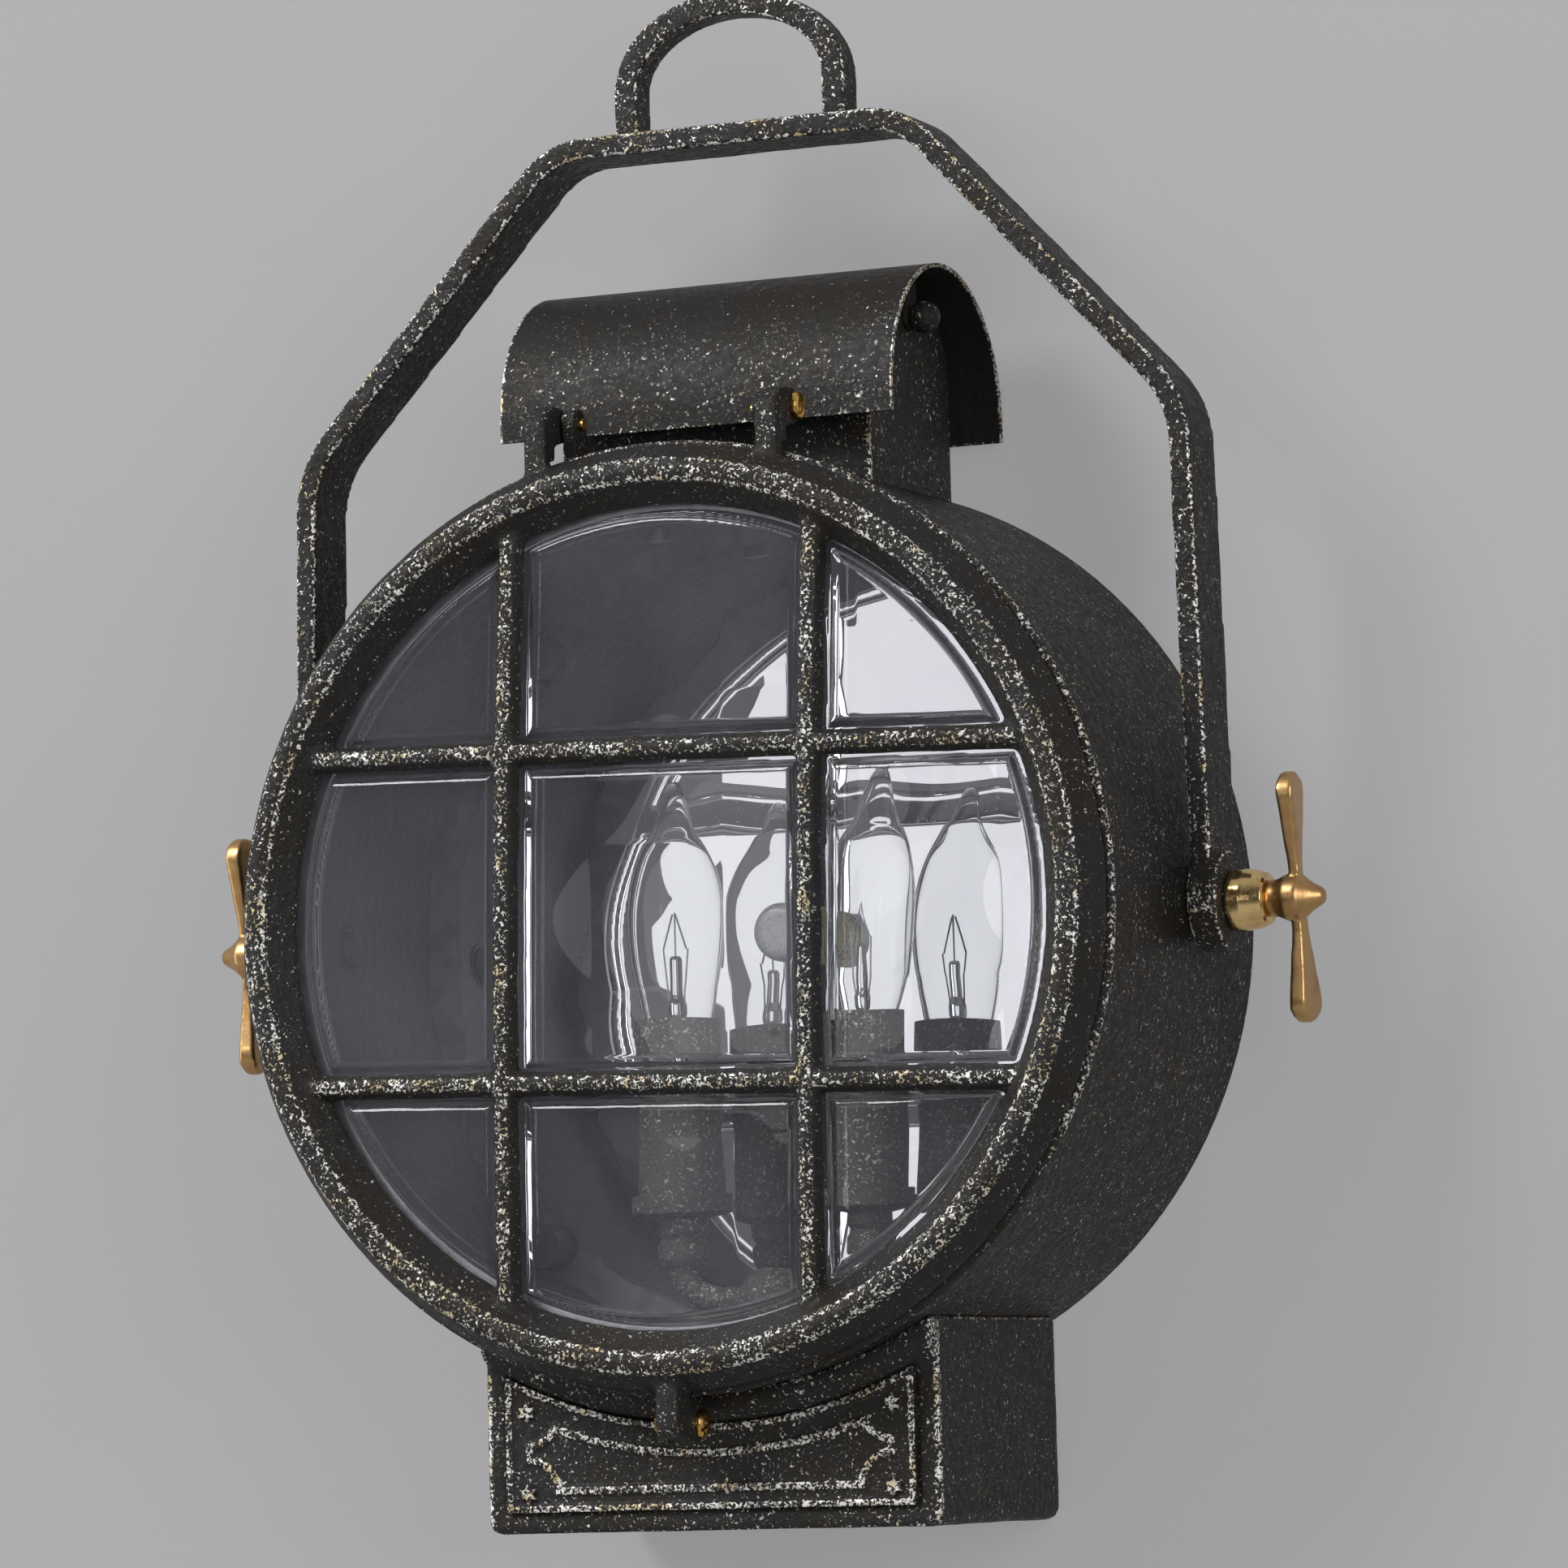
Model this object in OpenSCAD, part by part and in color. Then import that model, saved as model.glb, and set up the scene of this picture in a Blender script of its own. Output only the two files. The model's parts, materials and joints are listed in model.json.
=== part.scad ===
/* [Drum] */
// Outer radius of the round housing
drum_r = 158; // [150:0.5:168]
// Depth of the housing from the wall to its front rim
drum_depth = 134; // [126:0.5:150]
// Wall of the housing casting
drum_wall = 4; // [3:0.25:5]
// Radius of the bead around the front rim
bead_r = 1.6; // [1:0.1:2]

/* [Door] */
// Running gap between housing rim and door
door_gap = 1; // [0.8:0.1:2]
// Depth of the door ring from its back face to its crest
door_depth = 14; // [12:0.5:18]
// Width of the door ring from its rim to the clear opening
ring_w = 20.5; // [18:0.5:24]
// Distance of the ring's crest line inside the rim
crest_inset = 9.5; // [8:0.5:11]
// Width of the raised crest band
crest_w = 7; // [5:0.5:9]
// Distance of each grille bar from the middle
bar_offset = 55.5; // [46:0.5:62]
// Width of a grille bar
bar_w = 8.5; // [6:0.5:10]
// Depth of a grille bar, front to back
bar_depth = 7.5; // [6:0.25:8]
// How far the bars bow out in the middle
bar_bow = 5; // [4:0.25:6]

/* [Lens] */
// Thickness of the pressed glass
lens_t = 4; // [3:0.25:5]
// How far the glass domes forward
lens_rise = 4; // [3:0.25:4.5]
// Height of the nine raised panes
pane_rise = 3; // [1.5:0.25:4]
// Turn of the grille in its ring, clockwise from the front
grille_turn = 1.6; // [0:0.2:3]
// Space between a raised pane and its bar
pane_gap = 2; // [1:0.25:5]

/* [Hinge and latch] */
// Height of the hinge axis over the housing
hinge_rise = 11; // [10:0.5:14]
// Distance of the hinge axis behind the front rim
hinge_back = 10.5; // [9.5:0.5:12]
// Radius of the door's hinge ears around the pin
ear_r = 6; // [5.5:0.25:7]
// Distance of each door ear's middle from the centre line
ear_x = 42.6; // [36:0.1:56]
// Width of a door ear
ear_w = 8; // [6:0.5:10]
// Width of a housing ear
body_ear_w = 4.4; // [4:0.2:8]
// Space between a door ear and the housing ear beside it
ear_gap = 1; // [0.5:0.1:2]
// Radius of the hinge and latch screws
ear_pin_r = 2; // [1.5:0.1:2.5]
// Drop of the latch screw below the housing
latch_drop = 10.4; // [10:0.2:12]
// Distance of the latch screw behind the door's rear face
latch_back = 8.5; // [7.5:0.5:9.5]

/* [Bail] */
// Distance of the bail pivot from the wall
pivot_depth = 62; // [54:0.5:72]
// Radius of the pivot stud
stud_r = 5; // [4:0.25:6]
// Thickness of the bail strap
strap_t = 7.5; // [5:0.25:9]
// Width of the bail strap, front to back
strap_w = 25; // [18:0.5:28]
// Height of the bail's upper edge over the pivot
bail_h = 277; // [265:1:295]
// Height of the lower bends
bail_bend_h = 170; // [160:1:180]
// Half width of the bail's straight top between the corners
bail_top_x = 67.4; // [62:0.5:76]
// Inward lean of each arm at its bend
bail_lean = 3.6; // [2:0.2:4]
// Radius of a bail eye
eye_r = 17; // [14:0.5:19]
// Thickness of a bail eye
eye_t = 10; // [8:0.5:12]
// Outer radius across the hanging loop
loop_r = 43.5; // [38:0.5:48]
// Thickness of the loop seen from the front
loop_t = 8.5; // [6:0.5:10]
// Depth of the loop, front to back
loop_w = 12; // [9:0.5:16]
// Height of the loop over the bail
loop_h = 47.5; // [40:0.5:52]

/* [Wing nuts] */
// Radius of the brass barrel
barrel_r = 10.3; // [9:0.1:12]
// Length of the brass barrel
barrel_l = 13; // [10:0.5:18]
// Length of the wing nut from neck to nose
wing_l = 19; // [16:0.5:22]
// Span of the wing nut from tip to tip
wing_span = 83; // [70:1:90]
// Width of a paddle near its tip
paddle_w = 14.5; // [11:0.5:17]
// Thickness of a paddle near its tip
paddle_t = 5.6; // [4:0.1:6.5]

/* [Hood and vent] */
// Length of the hood from side to side
hood_w = 146; // [130:1:150]
// Outer radius of the hood's arch
hood_r = 49; // [47:0.5:52]
// Thickness of the hood sheet
hood_t = 1.4; // [1:0.1:2]
// Height of the hood's lower edges over the housing
hood_lift = 10; // [8:0.5:12]
// Straight height of the hood below its arch
hood_leg = 7; // [5:0.5:10]
// Distance of the hood's rear edge from the wall
hood_back = 5; // [4:0.5:8]
// Length of the vent box from side to side
vent_w = 115; // [105:1:118]
// Depth of the vent box
vent_d = 70; // [64:1:74]
// Height of the vent box over the housing
vent_h = 55; // [52:0.5:57]
// Wall of the vent box
vent_wall = 3; // [2:0.25:4]
// Corner radius of the vent box's arch
vent_round = 24; // [16:1:26]
// Radius of the ball nuts on the hood rod
ball_r = 5.6; // [5:0.1:6]

/* [Base box] */
// Width of the base box
base_w = 166; // [160:1:176]
// Depth of the base box's front face from the wall
base_front = 110; // [102:1:116]
// Gap between the base box and the wall
base_back = 6; // [4:0.5:10]
// Height of the base box below the housing
base_h = 46; // [41:1:54]
// Wall of the base box
base_wall = 3.5; // [3:0.25:5]
// Corner radius of the base box
base_round = 4; // [2:0.5:6]
// Width of the ledge that follows the door
ledge_w = 10; // [7:0.5:12]
// Half width of the ornamented panel
panel_x = 75; // [72:0.5:76]
// Thickness of the ornamented panel
panel_t = 3; // [2:0.25:4]
// Margin between panel and underside
panel_margin = 7; // [5:0.5:9]

/* [Lamps] */
// Distance of each lamp from the middle
lamp_x = 35; // [30:0.5:42]
// Distance of the lamps from the wall
lamp_depth = 50; // [46:0.5:56]
// Radius of the candle sleeve
sleeve_r = 14.2; // [13:0.1:15]
// Length of the candle sleeve
sleeve_h = 65; // [55:1:70]
// Height of the lamp hub over the housing's wall
hub_clear = 27; // [24:0.5:32]
// Largest radius of the bulb
bulb_r = 15.9; // [14:0.1:17]
// Height of the bulb's tip over the sleeve
bulb_h = 83; // [76:1:88]

/* [Wall fixing] */
// Spacing of the crossbar's slots, middle to middle
slot_spacing = 88.9; // [76.2:0.1:96]
// Width of the crossbar's slots
slot_w = 5; // [4.4:0.1:5.6]
// Length of the crossbar's slots
slot_l = 18; // [12:0.5:20]
// Length of the crossbar
bar_l = 114; // [110:1:124]
// Height of the crossbar
bar_h = 25; // [22:0.5:32]
// Thickness of the crossbar
bar_t = 2; // [1.5:0.25:2.5]
// Radius of the threaded centre nipple
nipple_r = 5; // [4:0.25:6]

/* [Hidden] */
// Clearances
run_fit = 0.06;
face_gap = 0.3;
side_gap = 0.5;
seat_gap = 0.05;
// Facets of large, middling and small rounds
fn_big = 180;
fn_mid = 64;
fn_small = 32;
// Facets of a full turn for the flat bows
fn_bow = 1440;

// Planes along the depth, all negative because the front faces -Y
rim_y = -drum_depth;
door_y = rim_y - door_gap;
crest_y = door_y - door_depth;
drum_in = drum_r - drum_wall;
// Door ring
glass_r = drum_r - ring_w;
crest_r = drum_r - crest_inset;
lip_t = 2.5;
lip_back = 1;
gasket_t = 1;
pocket_r = glass_r + 5.5;
lens_y = door_y - lip_back + gasket_t;
lens_edge_r = pocket_r - 0.5;
spigot_r = pocket_r + 7;
spigot_y = lens_y + lens_t;
retainer_t = 2;
retainer_r_in = glass_r - 1;
retainer_r_out = spigot_r;
retainer_screw_pcd_r = (pocket_r + spigot_r) / 2;
retainer_screw_n = 6;
retainer_screw_r = 1.5;
retainer_screw_l = 8;
rest_r = glass_r;
// Grille bars
bar_front_y = crest_y + 0.5;
bar_reach = crest_r - 1;
bar_half = sqrt(bar_reach * bar_reach - bar_offset * bar_offset);
bar_bow_r = (bar_half * bar_half + bar_bow * bar_bow) / (2 * bar_bow);
bar_angle = asin(bar_half / bar_bow_r);
// Lens dome
dome_r = glass_r - 0.5;
pane_edge = bar_w / 2 + pane_gap;
pane_limit_r = dome_r - 2.5;
dome_steps = 10;
// Hinge
hinge_y = rim_y + hinge_back;
hinge_z = drum_r + hinge_rise;
ear_front_y = door_y - 5;
ear_neck = 9.5;
body_ear_r = ear_r - 0.8;
ear_in = ear_x - ear_w / 2;
ear_out = ear_x + ear_w / 2;
ear_neck_low = sqrt(pow(drum_r + bead_r, 2) - ear_in * ear_in) + 1;
body_ear_out = ear_in - ear_gap;
body_ear_in = body_ear_out - body_ear_w;
hinge_screw_end = body_ear_in - 2;
screw_head_r = 2.4 * ear_pin_r;
screw_head_t = 3;
driver_w = 1.1;
driver_depth = 1.2;
// Latch
latch_y = door_y + latch_back;
latch_z = -drum_r - latch_drop;
latch_ear_r = 6.6;
latch_ear_w = 8.5;
latch_slot_gap = 0.4;
latch_keeper_w = 4;
latch_keeper_in = latch_ear_w / 2 + side_gap;
latch_keeper_out = latch_keeper_in + latch_keeper_w;
latch_nut_t = 2.2;
latch_nut_r = 1.8 * ear_pin_r;
latch_screw_end = -latch_keeper_out - latch_nut_t - 0.8;
// Pivot
pivot_y = -pivot_depth;
boss_r = 13;
boss_in = drum_in - 0.6;
boss_out = drum_r + 4;
washer_t = 1.4;
eye_in = boss_out + washer_t + face_gap;
eye_out = eye_in + eye_t;
barrel_in = eye_out + face_gap;
barrel_out = barrel_in + barrel_l;
wing_nose = barrel_out + wing_l;
stud_head_r = 1.4 * stud_r;
stud_head_t = 2.4;
stud_end = barrel_out + 9;
wing_tilt = 8;
paddle_twist = 4;
paddle_root_t = paddle_t / 2;
// Bail outline
arm_out = eye_in + strap_t;
arm_bend_out = arm_out - bail_lean;
lower_bend_r = 42;
upper_bend_r = 34;
bend_steps = 10;
// Vent and hood
vent_back = 16;
vent_mid_y = -(vent_back + vent_d / 2);
vent_top = drum_r + vent_h;
vent_low = sqrt(drum_r * drum_r - vent_w * vent_w / 4) - 2;
vent_boss_r = 5;
vent_boss_x = vent_w / 2 - vent_wall - vent_boss_r + 0.5;
vent_boss_y = vent_d / 2 - vent_wall - vent_boss_r + 0.5;
vent_boss_top = drum_r + 8;
vent_screw_r = 2;
vent_mouth_x = vent_boss_x - vent_boss_r - 2;
vent_mouth_y = vent_boss_y - vent_boss_r + 1;
vent_slot_n = 5;
vent_slot_w = 4;
vent_slot_h = 9;
rod_r = 2.5;
rod_z = vent_top - vent_wall - rod_r - 0.5;
hood_y = -(hood_back + hood_r);
hood_low = drum_r + hood_lift;
hood_arch_z = hood_low + hood_leg;
tab_t = 1.5;
tab_w = 9;
tab_x = vent_w / 2 + face_gap;
// Base box
base_drop = drum_r + base_h;
base_x = base_w / 2;
panel_y = -base_front + panel_t / 2;
panel_arc_r = drum_r + ledge_w + 0.5;
panel_low = -base_drop + panel_margin;
ledge_r = drum_r + ledge_w;
ledge_y = -base_front - 6;
base_boss_r = 6;
base_boss_x = base_x - base_wall - base_boss_r + 1;
base_boss_y = -(base_front + base_back) / 2;
base_screw_r = 2.2;
// Cartouche and stars
star_x = panel_x - 8;
star_high = -sqrt(panel_arc_r * panel_arc_r - panel_x * panel_x) - 12.4;
star_low = panel_low + 6.3;
star_r = 3.4;
cart_x = star_x + 0.7;
cart_low = panel_low + 6;
cart_arc_r = panel_arc_r + 8.5;
cart_bite = 10.4;
cart_line = 2.4;
frame_line = 2.2;
relief = 0.9;
stud_hole_r = 1.25;
// Wall fixing stack, from the wall to the mirror's face
lock_nut_t = 3;
plate_t = 1.5;
mirror_t = 3;
plate_back_y = -bar_t - lock_nut_t;
plate_y = plate_back_y - plate_t;
mirror_y = plate_y - mirror_t;
plate_r = drum_in - 0.5;
lug_r = 7.5;
lug_pcd_r = drum_in - lug_r + 0.5;
mirror_r = lug_pcd_r - lug_r - 0.5;
lug_depth = 14;
plate_screw_r = 2;
mirror_nut_r = 10;
mirror_nut_t = 17;
cap_nut_r = 9.5;
cap_nut_t = 16;
nipple_end_y = mirror_y - mirror_nut_t - cap_nut_t + 5;
ground_x = 20;
ground_screw_r = 2;
// Lamp cluster
lamp_y = -lamp_depth;
elbow_r = 14;
arm_r = 5;
arm_bore_r = 3.4;
neck_r = 8.5;
neck_l = 16;
cup_floor = 2;
cup_wall_h = 5;
hub_z = -(drum_in - hub_clear);
cup_low = hub_z + elbow_r;
sleeve_low = cup_low + neck_l + cup_floor;
sleeve_top = sleeve_low + sleeve_h;
sleeve_wall = 1;
cup_r = sleeve_r + 2.3;
hub_r = 12;
hub_flange_r = 16;
hub_neck_r = 7;
hub_tube_r = 5;
hub_nut_t = 3;
socket_r = 12.4;
socket_h = 24;
socket_top = sleeve_top - 8;
shell_r = 6.6;
shell_wall = 0.4;
cap_r = shell_r - shell_wall - 0.15;
cap_h = 20;
cap_top = socket_top + 2;
cap_low = cap_top - cap_h;
bulb_low = cap_top - 2;
bulb_tip = sleeve_top + bulb_h;
bulb_belly = sleeve_top + bulb_h * 0.41;
glass_t = 0.8;
stem_top = sleeve_top + bulb_h * 0.28;
stem_rod_r = 2.1;
stem_pinch_r = 3.2;
wire_rise = bulb_h * 0.175;
wire_side_rise = bulb_h * 0.03;
wire_spread = bulb_r * 0.28;
wire_r = 0.3;
filament_r = 0.3;

iron = [0.16, 0.155, 0.15];
brass = [0.78, 0.56, 0.30];
steel = [0.62, 0.62, 0.63];

// A solid turned about the lantern's axis, from points of radius and depth
module turned(points, fn = fn_big) {
    rotate([-90, 0, 0]) rotate_extrude($fn = fn) polygon(points);
}

// A cylinder along the depth between two planes
module y_rod(r, y0, y1, fn = fn_mid) {
    translate([0, min(y0, y1), 0]) rotate([-90, 0, 0]) cylinder(r = r, h = abs(y1 - y0), $fn = fn);
}

// A cylinder from side to side between two planes
module x_rod(r, x0, x1, fn = fn_mid) {
    translate([min(x0, x1), 0, 0]) rotate([0, 90, 0]) cylinder(r = r, h = abs(x1 - x0), $fn = fn);
}

// A hexagon nut along the depth
module y_hex(r, bore, y0, y1) {
    difference() {
        y_rod(r, y0, y1, 6);
        y_rod(bore, y0 - 1, y1 + 1, fn_small);
    }
}

// A slab from side to side, cut from an outline in depth and height
module side_slab(x0, x1) {
    translate([x0, 0, 0]) rotate([90, 0, 90]) linear_extrude(height = x1 - x0) children();
}

// Both sides of the lantern
module both_sides() {
    children();
    mirror([1, 0, 0]) children();
}

// A rectangle with round corners between two corners
module round_rect(x0, y0, x1, y1, r) {
    translate([x0 + r, y0]) square([x1 - x0 - 2 * r, y1 - y0]);
    translate([x0, y0 + r]) square([x1 - x0, y1 - y0 - 2 * r]);
    for (x = [x0 + r, x1 - r], y = [y0 + r, y1 - r]) translate([x, y]) circle(r = r, $fn = fn_mid);
}

// Points of an arc about a centre
function arc(c, r, a0, a1, n) = [for (i = [0:n]) let (a = a0 + (a1 - a0) * i / n) c + r * [cos(a), sin(a)]];

// Points of a rounded corner at b between a and c
function corner(a, b, c, r, n) =
    let (u = (a - b) / norm(a - b), v = (c - b) / norm(c - b))
    let (half = acos(max(-1, min(1, u * v))) / 2)
    let (w = (u + v) / norm(u + v), m = b + w * r / sin(half))
    let (p = b + u * r / tan(half) - m, q = b + v * r / tan(half) - m)
    let (a0 = atan2(p.y, p.x), turn = atan2(p.x * q.y - p.y * q.x, p * q))
    arc(m, r, a0, a0 + turn, n);

// Housing

module pivot_boss() {
    translate([0, pivot_y, 0]) {
        x_rod(boss_r, drum_in + 1, boss_out);
        x_rod(stud_head_r + 1.5, boss_in, drum_in + 2);
    }
}

module body_ear() {
    side_slab(body_ear_in, body_ear_out) {
        translate([hinge_y, hinge_z]) circle(r = body_ear_r, $fn = fn_mid);
        polygon([[hinge_y - body_ear_r, hinge_z], [hinge_y - body_ear_r * 0.55, drum_r],
                 [hinge_y - body_ear_r * 0.55, drum_in - 2], [hinge_y + 2 * body_ear_r, drum_in - 2],
                 [hinge_y + 1.7 * body_ear_r, drum_r], [hinge_y + body_ear_r, hinge_z]]);
    }
}

module latch_keeper() {
    front = latch_y - 6;
    top = -(drum_r + 3.2);
    low = latch_z - 6;
    side_slab(-latch_keeper_out, -latch_keeper_in) difference() {
        polygon([[rim_y, -drum_in - 1], [rim_y, top], [front, top], [front, low], [latch_y + 4.5, low],
                 [latch_y + 7.5, top - 1], [latch_y + 7.5, -drum_in - 1]]);
        translate([latch_y, latch_z]) circle(r = ear_pin_r + latch_slot_gap, $fn = fn_mid);
        translate([front - 1, latch_z - ear_pin_r - latch_slot_gap])
            square([latch_y - front + 1, 2 * (ear_pin_r + latch_slot_gap)]);
    }
}

module plate_lugs() {
    for (a = [45:90:315]) rotate([0, a, 0]) translate([lug_pcd_r, 0, 0]) children();
}

module drum_shell() color(iron) {
    difference() {
        union() {
            rotate([-90, 0, 0]) rotate_extrude($fn = fn_big) {
                polygon([[drum_in, 0], [drum_r, 0], [drum_r, rim_y], [drum_in, rim_y]]);
                translate([drum_r, rim_y + bead_r + 0.2]) circle(r = bead_r, $fn = fn_small);
            }
            both_sides() pivot_boss();
            plate_lugs() y_rod(lug_r, plate_y, plate_y - lug_depth);
            both_sides() body_ear();
            latch_keeper();
        }
        both_sides() translate([0, pivot_y, 0]) x_rod(stud_r + seat_gap, boss_in - 1, boss_out + 1);
        plate_lugs() y_rod(plate_screw_r + seat_gap, plate_y + 1, plate_y - lug_depth + 3);
        translate([0, hinge_y, hinge_z]) x_rod(ear_pin_r + run_fit, -ear_out, ear_out);
        translate([-vent_mouth_x, vent_mid_y - vent_mouth_y, 0])
            cube([2 * vent_mouth_x, 2 * vent_mouth_y, drum_r + 1]);
        vent_screw_places() cylinder(r = vent_screw_r + seat_gap, h = vent_boss_top, $fn = fn_small);
        base_screw_places() mirror([0, 0, 1])
            cylinder(r = base_screw_r + seat_gap, h = drum_r, $fn = fn_small);
    }
}

module back_plate() color(steel) {
    difference() {
        y_rod(plate_r, plate_y, plate_back_y, fn_big);
        y_rod(nipple_r + 0.2, plate_y - 1, 1);
        plate_lugs() y_rod(plate_screw_r + seat_gap, plate_y - 1, 1);
        translate([0, 0, hub_z]) y_rod(hub_tube_r + 0.2, plate_y - 1, 1);
    }
}

module back_plate_screws() color(steel) {
    plate_lugs() {
        y_rod(plate_screw_r, plate_back_y, plate_y - lug_depth + 4, fn_small);
        y_rod(2 * plate_screw_r, plate_back_y + 2.2, plate_back_y, fn_small);
    }
}

module crossbar() color(steel) {
    rotate([90, 0, 0]) linear_extrude(height = bar_t) difference() {
        round_rect(-bar_l / 2, -bar_h / 2, bar_l / 2, bar_h / 2, 4);
        circle(r = nipple_r + seat_gap, $fn = fn_mid);
        for (s = [-1, 1]) translate([s * slot_spacing / 2, 0]) {
            square([slot_l - slot_w, slot_w], center = true);
            for (e = [-1, 1]) translate([e * (slot_l - slot_w) / 2, 0]) circle(d = slot_w, $fn = fn_mid);
        }
        translate([ground_x, 0]) circle(r = ground_screw_r + seat_gap, $fn = fn_small);
    }
}

module center_nipple() color(brass) {
    y_rod(nipple_r, 0, nipple_end_y);
}

module nipple_lock_nut() color(steel) {
    y_hex(nipple_r + 4, nipple_r + seat_gap, -bar_t - lock_nut_t, -bar_t);
}

module mirror_nut() color(brass) {
    ribs = 5;
    pitch = mirror_nut_t / ribs;
    difference() {
        rotate([-90, 0, 0]) rotate_extrude($fn = fn_mid) polygon(concat(
            [[0, mirror_y], [mirror_nut_r + 0.6, mirror_y]],
            [for (i = [0:ribs - 1], e = [[0.6, 0.15], [0.6, 0.55], [0, 0.8], [0, 0.95]])
                [mirror_nut_r + e[0] - 0.6, mirror_y - (i + e[1]) * pitch]],
            [[mirror_nut_r - 0.6, mirror_y - mirror_nut_t], [0, mirror_y - mirror_nut_t]]));
        y_rod(nipple_r + seat_gap, mirror_y + 1, mirror_y - mirror_nut_t - 1);
    }
}

module cap_nut() color("dimgray") {
    back = mirror_y - mirror_nut_t;
    front = back - cap_nut_t;
    round = 4;
    difference() {
        rotate([-90, 0, 0]) rotate_extrude($fn = fn_mid) polygon(concat(
            [[0, back], [cap_nut_r, back]],
            arc([cap_nut_r - round, front + round], round, 0, -90, 6), [[0, front]]));
        y_rod(nipple_r + seat_gap, back + 1, nipple_end_y - 0.5);
    }
}

module ground_screw() color("seagreen") {
    translate([ground_x, 0, 0]) {
        y_rod(ground_screw_r, -bar_t - 0.4, 0, fn_small);
        y_rod(3.6, -bar_t - 2.4, -bar_t, fn_small);
    }
}

module mirror_disc() color([0.85, 0.86, 0.88]) {
    difference() {
        y_rod(mirror_r, mirror_y, plate_y, fn_big);
        y_rod(nipple_r + 0.3, mirror_y - 1, plate_y + 1);
        translate([0, 0, hub_z]) y_rod(hub_tube_r + 0.3, mirror_y - 1, plate_y + 1);
    }
}

// Base box

module base_screw_places() {
    for (s = [-1, 1]) translate([s * base_boss_x, base_boss_y, 0]) children();
}

module drum_cut(extra = 0) {
    y_rod(drum_r + extra, -base_front - 20, 5, fn_big);
}

module panel_outline(grow = 0) {
    difference() {
        translate([-panel_x - grow, panel_low - grow])
            square([2 * (panel_x + grow), -panel_low - drum_in * 0.6 + grow]);
        circle(r = panel_arc_r - grow, $fn = fn_big);
    }
}

module base_box() color(iron) {
    ledge_seat = 4;
    difference() {
        union() {
            translate([0, -base_back, 0]) rotate([90, 0, 0]) linear_extrude(height = base_front - base_back)
                round_rect(-base_x, -base_drop, base_x, -drum_r * 0.5, base_round);
            intersection() {
                rotate([-90, 0, 0]) rotate_extrude($fn = fn_big)
                    polygon([[drum_r, -base_front + 1], [ledge_r, -base_front + 1],
                             [ledge_r, -base_front - 2], [ledge_r - ledge_seat, ledge_y + 1],
                             [drum_r, ledge_y]]);
                translate([-base_x, ledge_y - 1, -base_drop])
                    cube([base_w, base_front, base_drop - drum_r * 0.5]);
            }
        }
        drum_cut();
        difference() {
            translate([-base_x + base_wall, -base_front + base_wall, -base_drop + base_wall])
                cube([base_w - 2 * base_wall, base_front, base_drop - drum_r * 0.3]);
            base_screw_places() translate([0, 0, -drum_r - 6])
                cylinder(r = base_boss_r, h = drum_r, $fn = fn_mid);
        }
        translate([0, panel_y, 0]) rotate([90, 0, 0])
            linear_extrude(height = panel_t) panel_outline(face_gap);
        for (p = star_places())
            translate([p.x, 0, p.y]) y_rod(stud_hole_r, -base_front - 1, -base_front + 10, fn_small);
        base_screw_places() translate([0, 0, -drum_r - 4])
            cylinder(r = base_screw_r + seat_gap, h = drum_r, $fn = fn_small);
    }
}

module base_screws() color(steel) {
    head_z = -sqrt(drum_in * drum_in - pow(base_boss_x + 2 * base_screw_r, 2));
    base_screw_places() {
        translate([0, 0, -drum_r - 2]) cylinder(r = base_screw_r, h = drum_r + 2 + head_z, $fn = fn_small);
        translate([0, 0, head_z]) cylinder(r = 2 * base_screw_r, h = 2.6, $fn = fn_small);
    }
}

function star_places() = [for (s = [-1, 1], z = [star_high, star_low]) [s * star_x, z]];

// The cartouche's outline: an arched field with a bite round each star
module cartouche(inset) {
    difference() {
        translate([-cart_x + inset, cart_low + inset])
            square([2 * (cart_x - inset), -cart_low - drum_in * 0.6]);
        circle(r = cart_arc_r + inset, $fn = fn_big);
        for (p = star_places()) translate(p) circle(r = cart_bite + inset, $fn = fn_mid);
    }
}

module front_panel() color(iron) {
    translate([0, panel_y, 0]) rotate([90, 0, 0]) difference() {
        union() {
            linear_extrude(height = panel_t) panel_outline();
            linear_extrude(height = panel_t + relief) {
                difference() {
                    panel_outline();
                    panel_outline(-frame_line);
                }
                difference() {
                    cartouche(0);
                    cartouche(cart_line);
                }
            }
        }
        for (p = star_places())
            translate([p.x, p.y, -1]) cylinder(r = stud_hole_r, h = panel_t + 3, $fn = fn_small);
    }
}

module panel_studs() color(iron) {
    front = panel_y - panel_t;
    for (p = star_places()) translate([p.x, 0, p.y]) {
        y_rod(stud_hole_r - seat_gap, front, -base_front + base_wall, fn_small);
        translate([0, front, 0]) rotate([90, 0, 0]) linear_extrude(height = 1.4) polygon([
            for (i = [0:11]) let (r = i % 2 == 0 ? star_r : star_r * 0.5) r * [sin(i * 30), cos(i * 30)]]);
    }
}

// Vent box and hood

module vent_screw_places() {
    for (sx = [-1, 1], sy = [-1, 1])
        translate([sx * vent_boss_x, vent_mid_y + sy * vent_boss_y, 0]) children();
}

module vent_section(inset) {
    half = vent_d / 2 - inset;
    top = vent_top - inset;
    r = max(vent_round - inset, 1);
    translate([vent_mid_y, 0]) {
        translate([-half, vent_low]) square([2 * half, top - r - vent_low]);
        translate([-half + r, vent_low]) square([2 * (half - r), top - vent_low]);
        for (s = [-1, 1]) translate([s * (half - r), top - r]) circle(r = r, $fn = fn_mid);
    }
}

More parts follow.
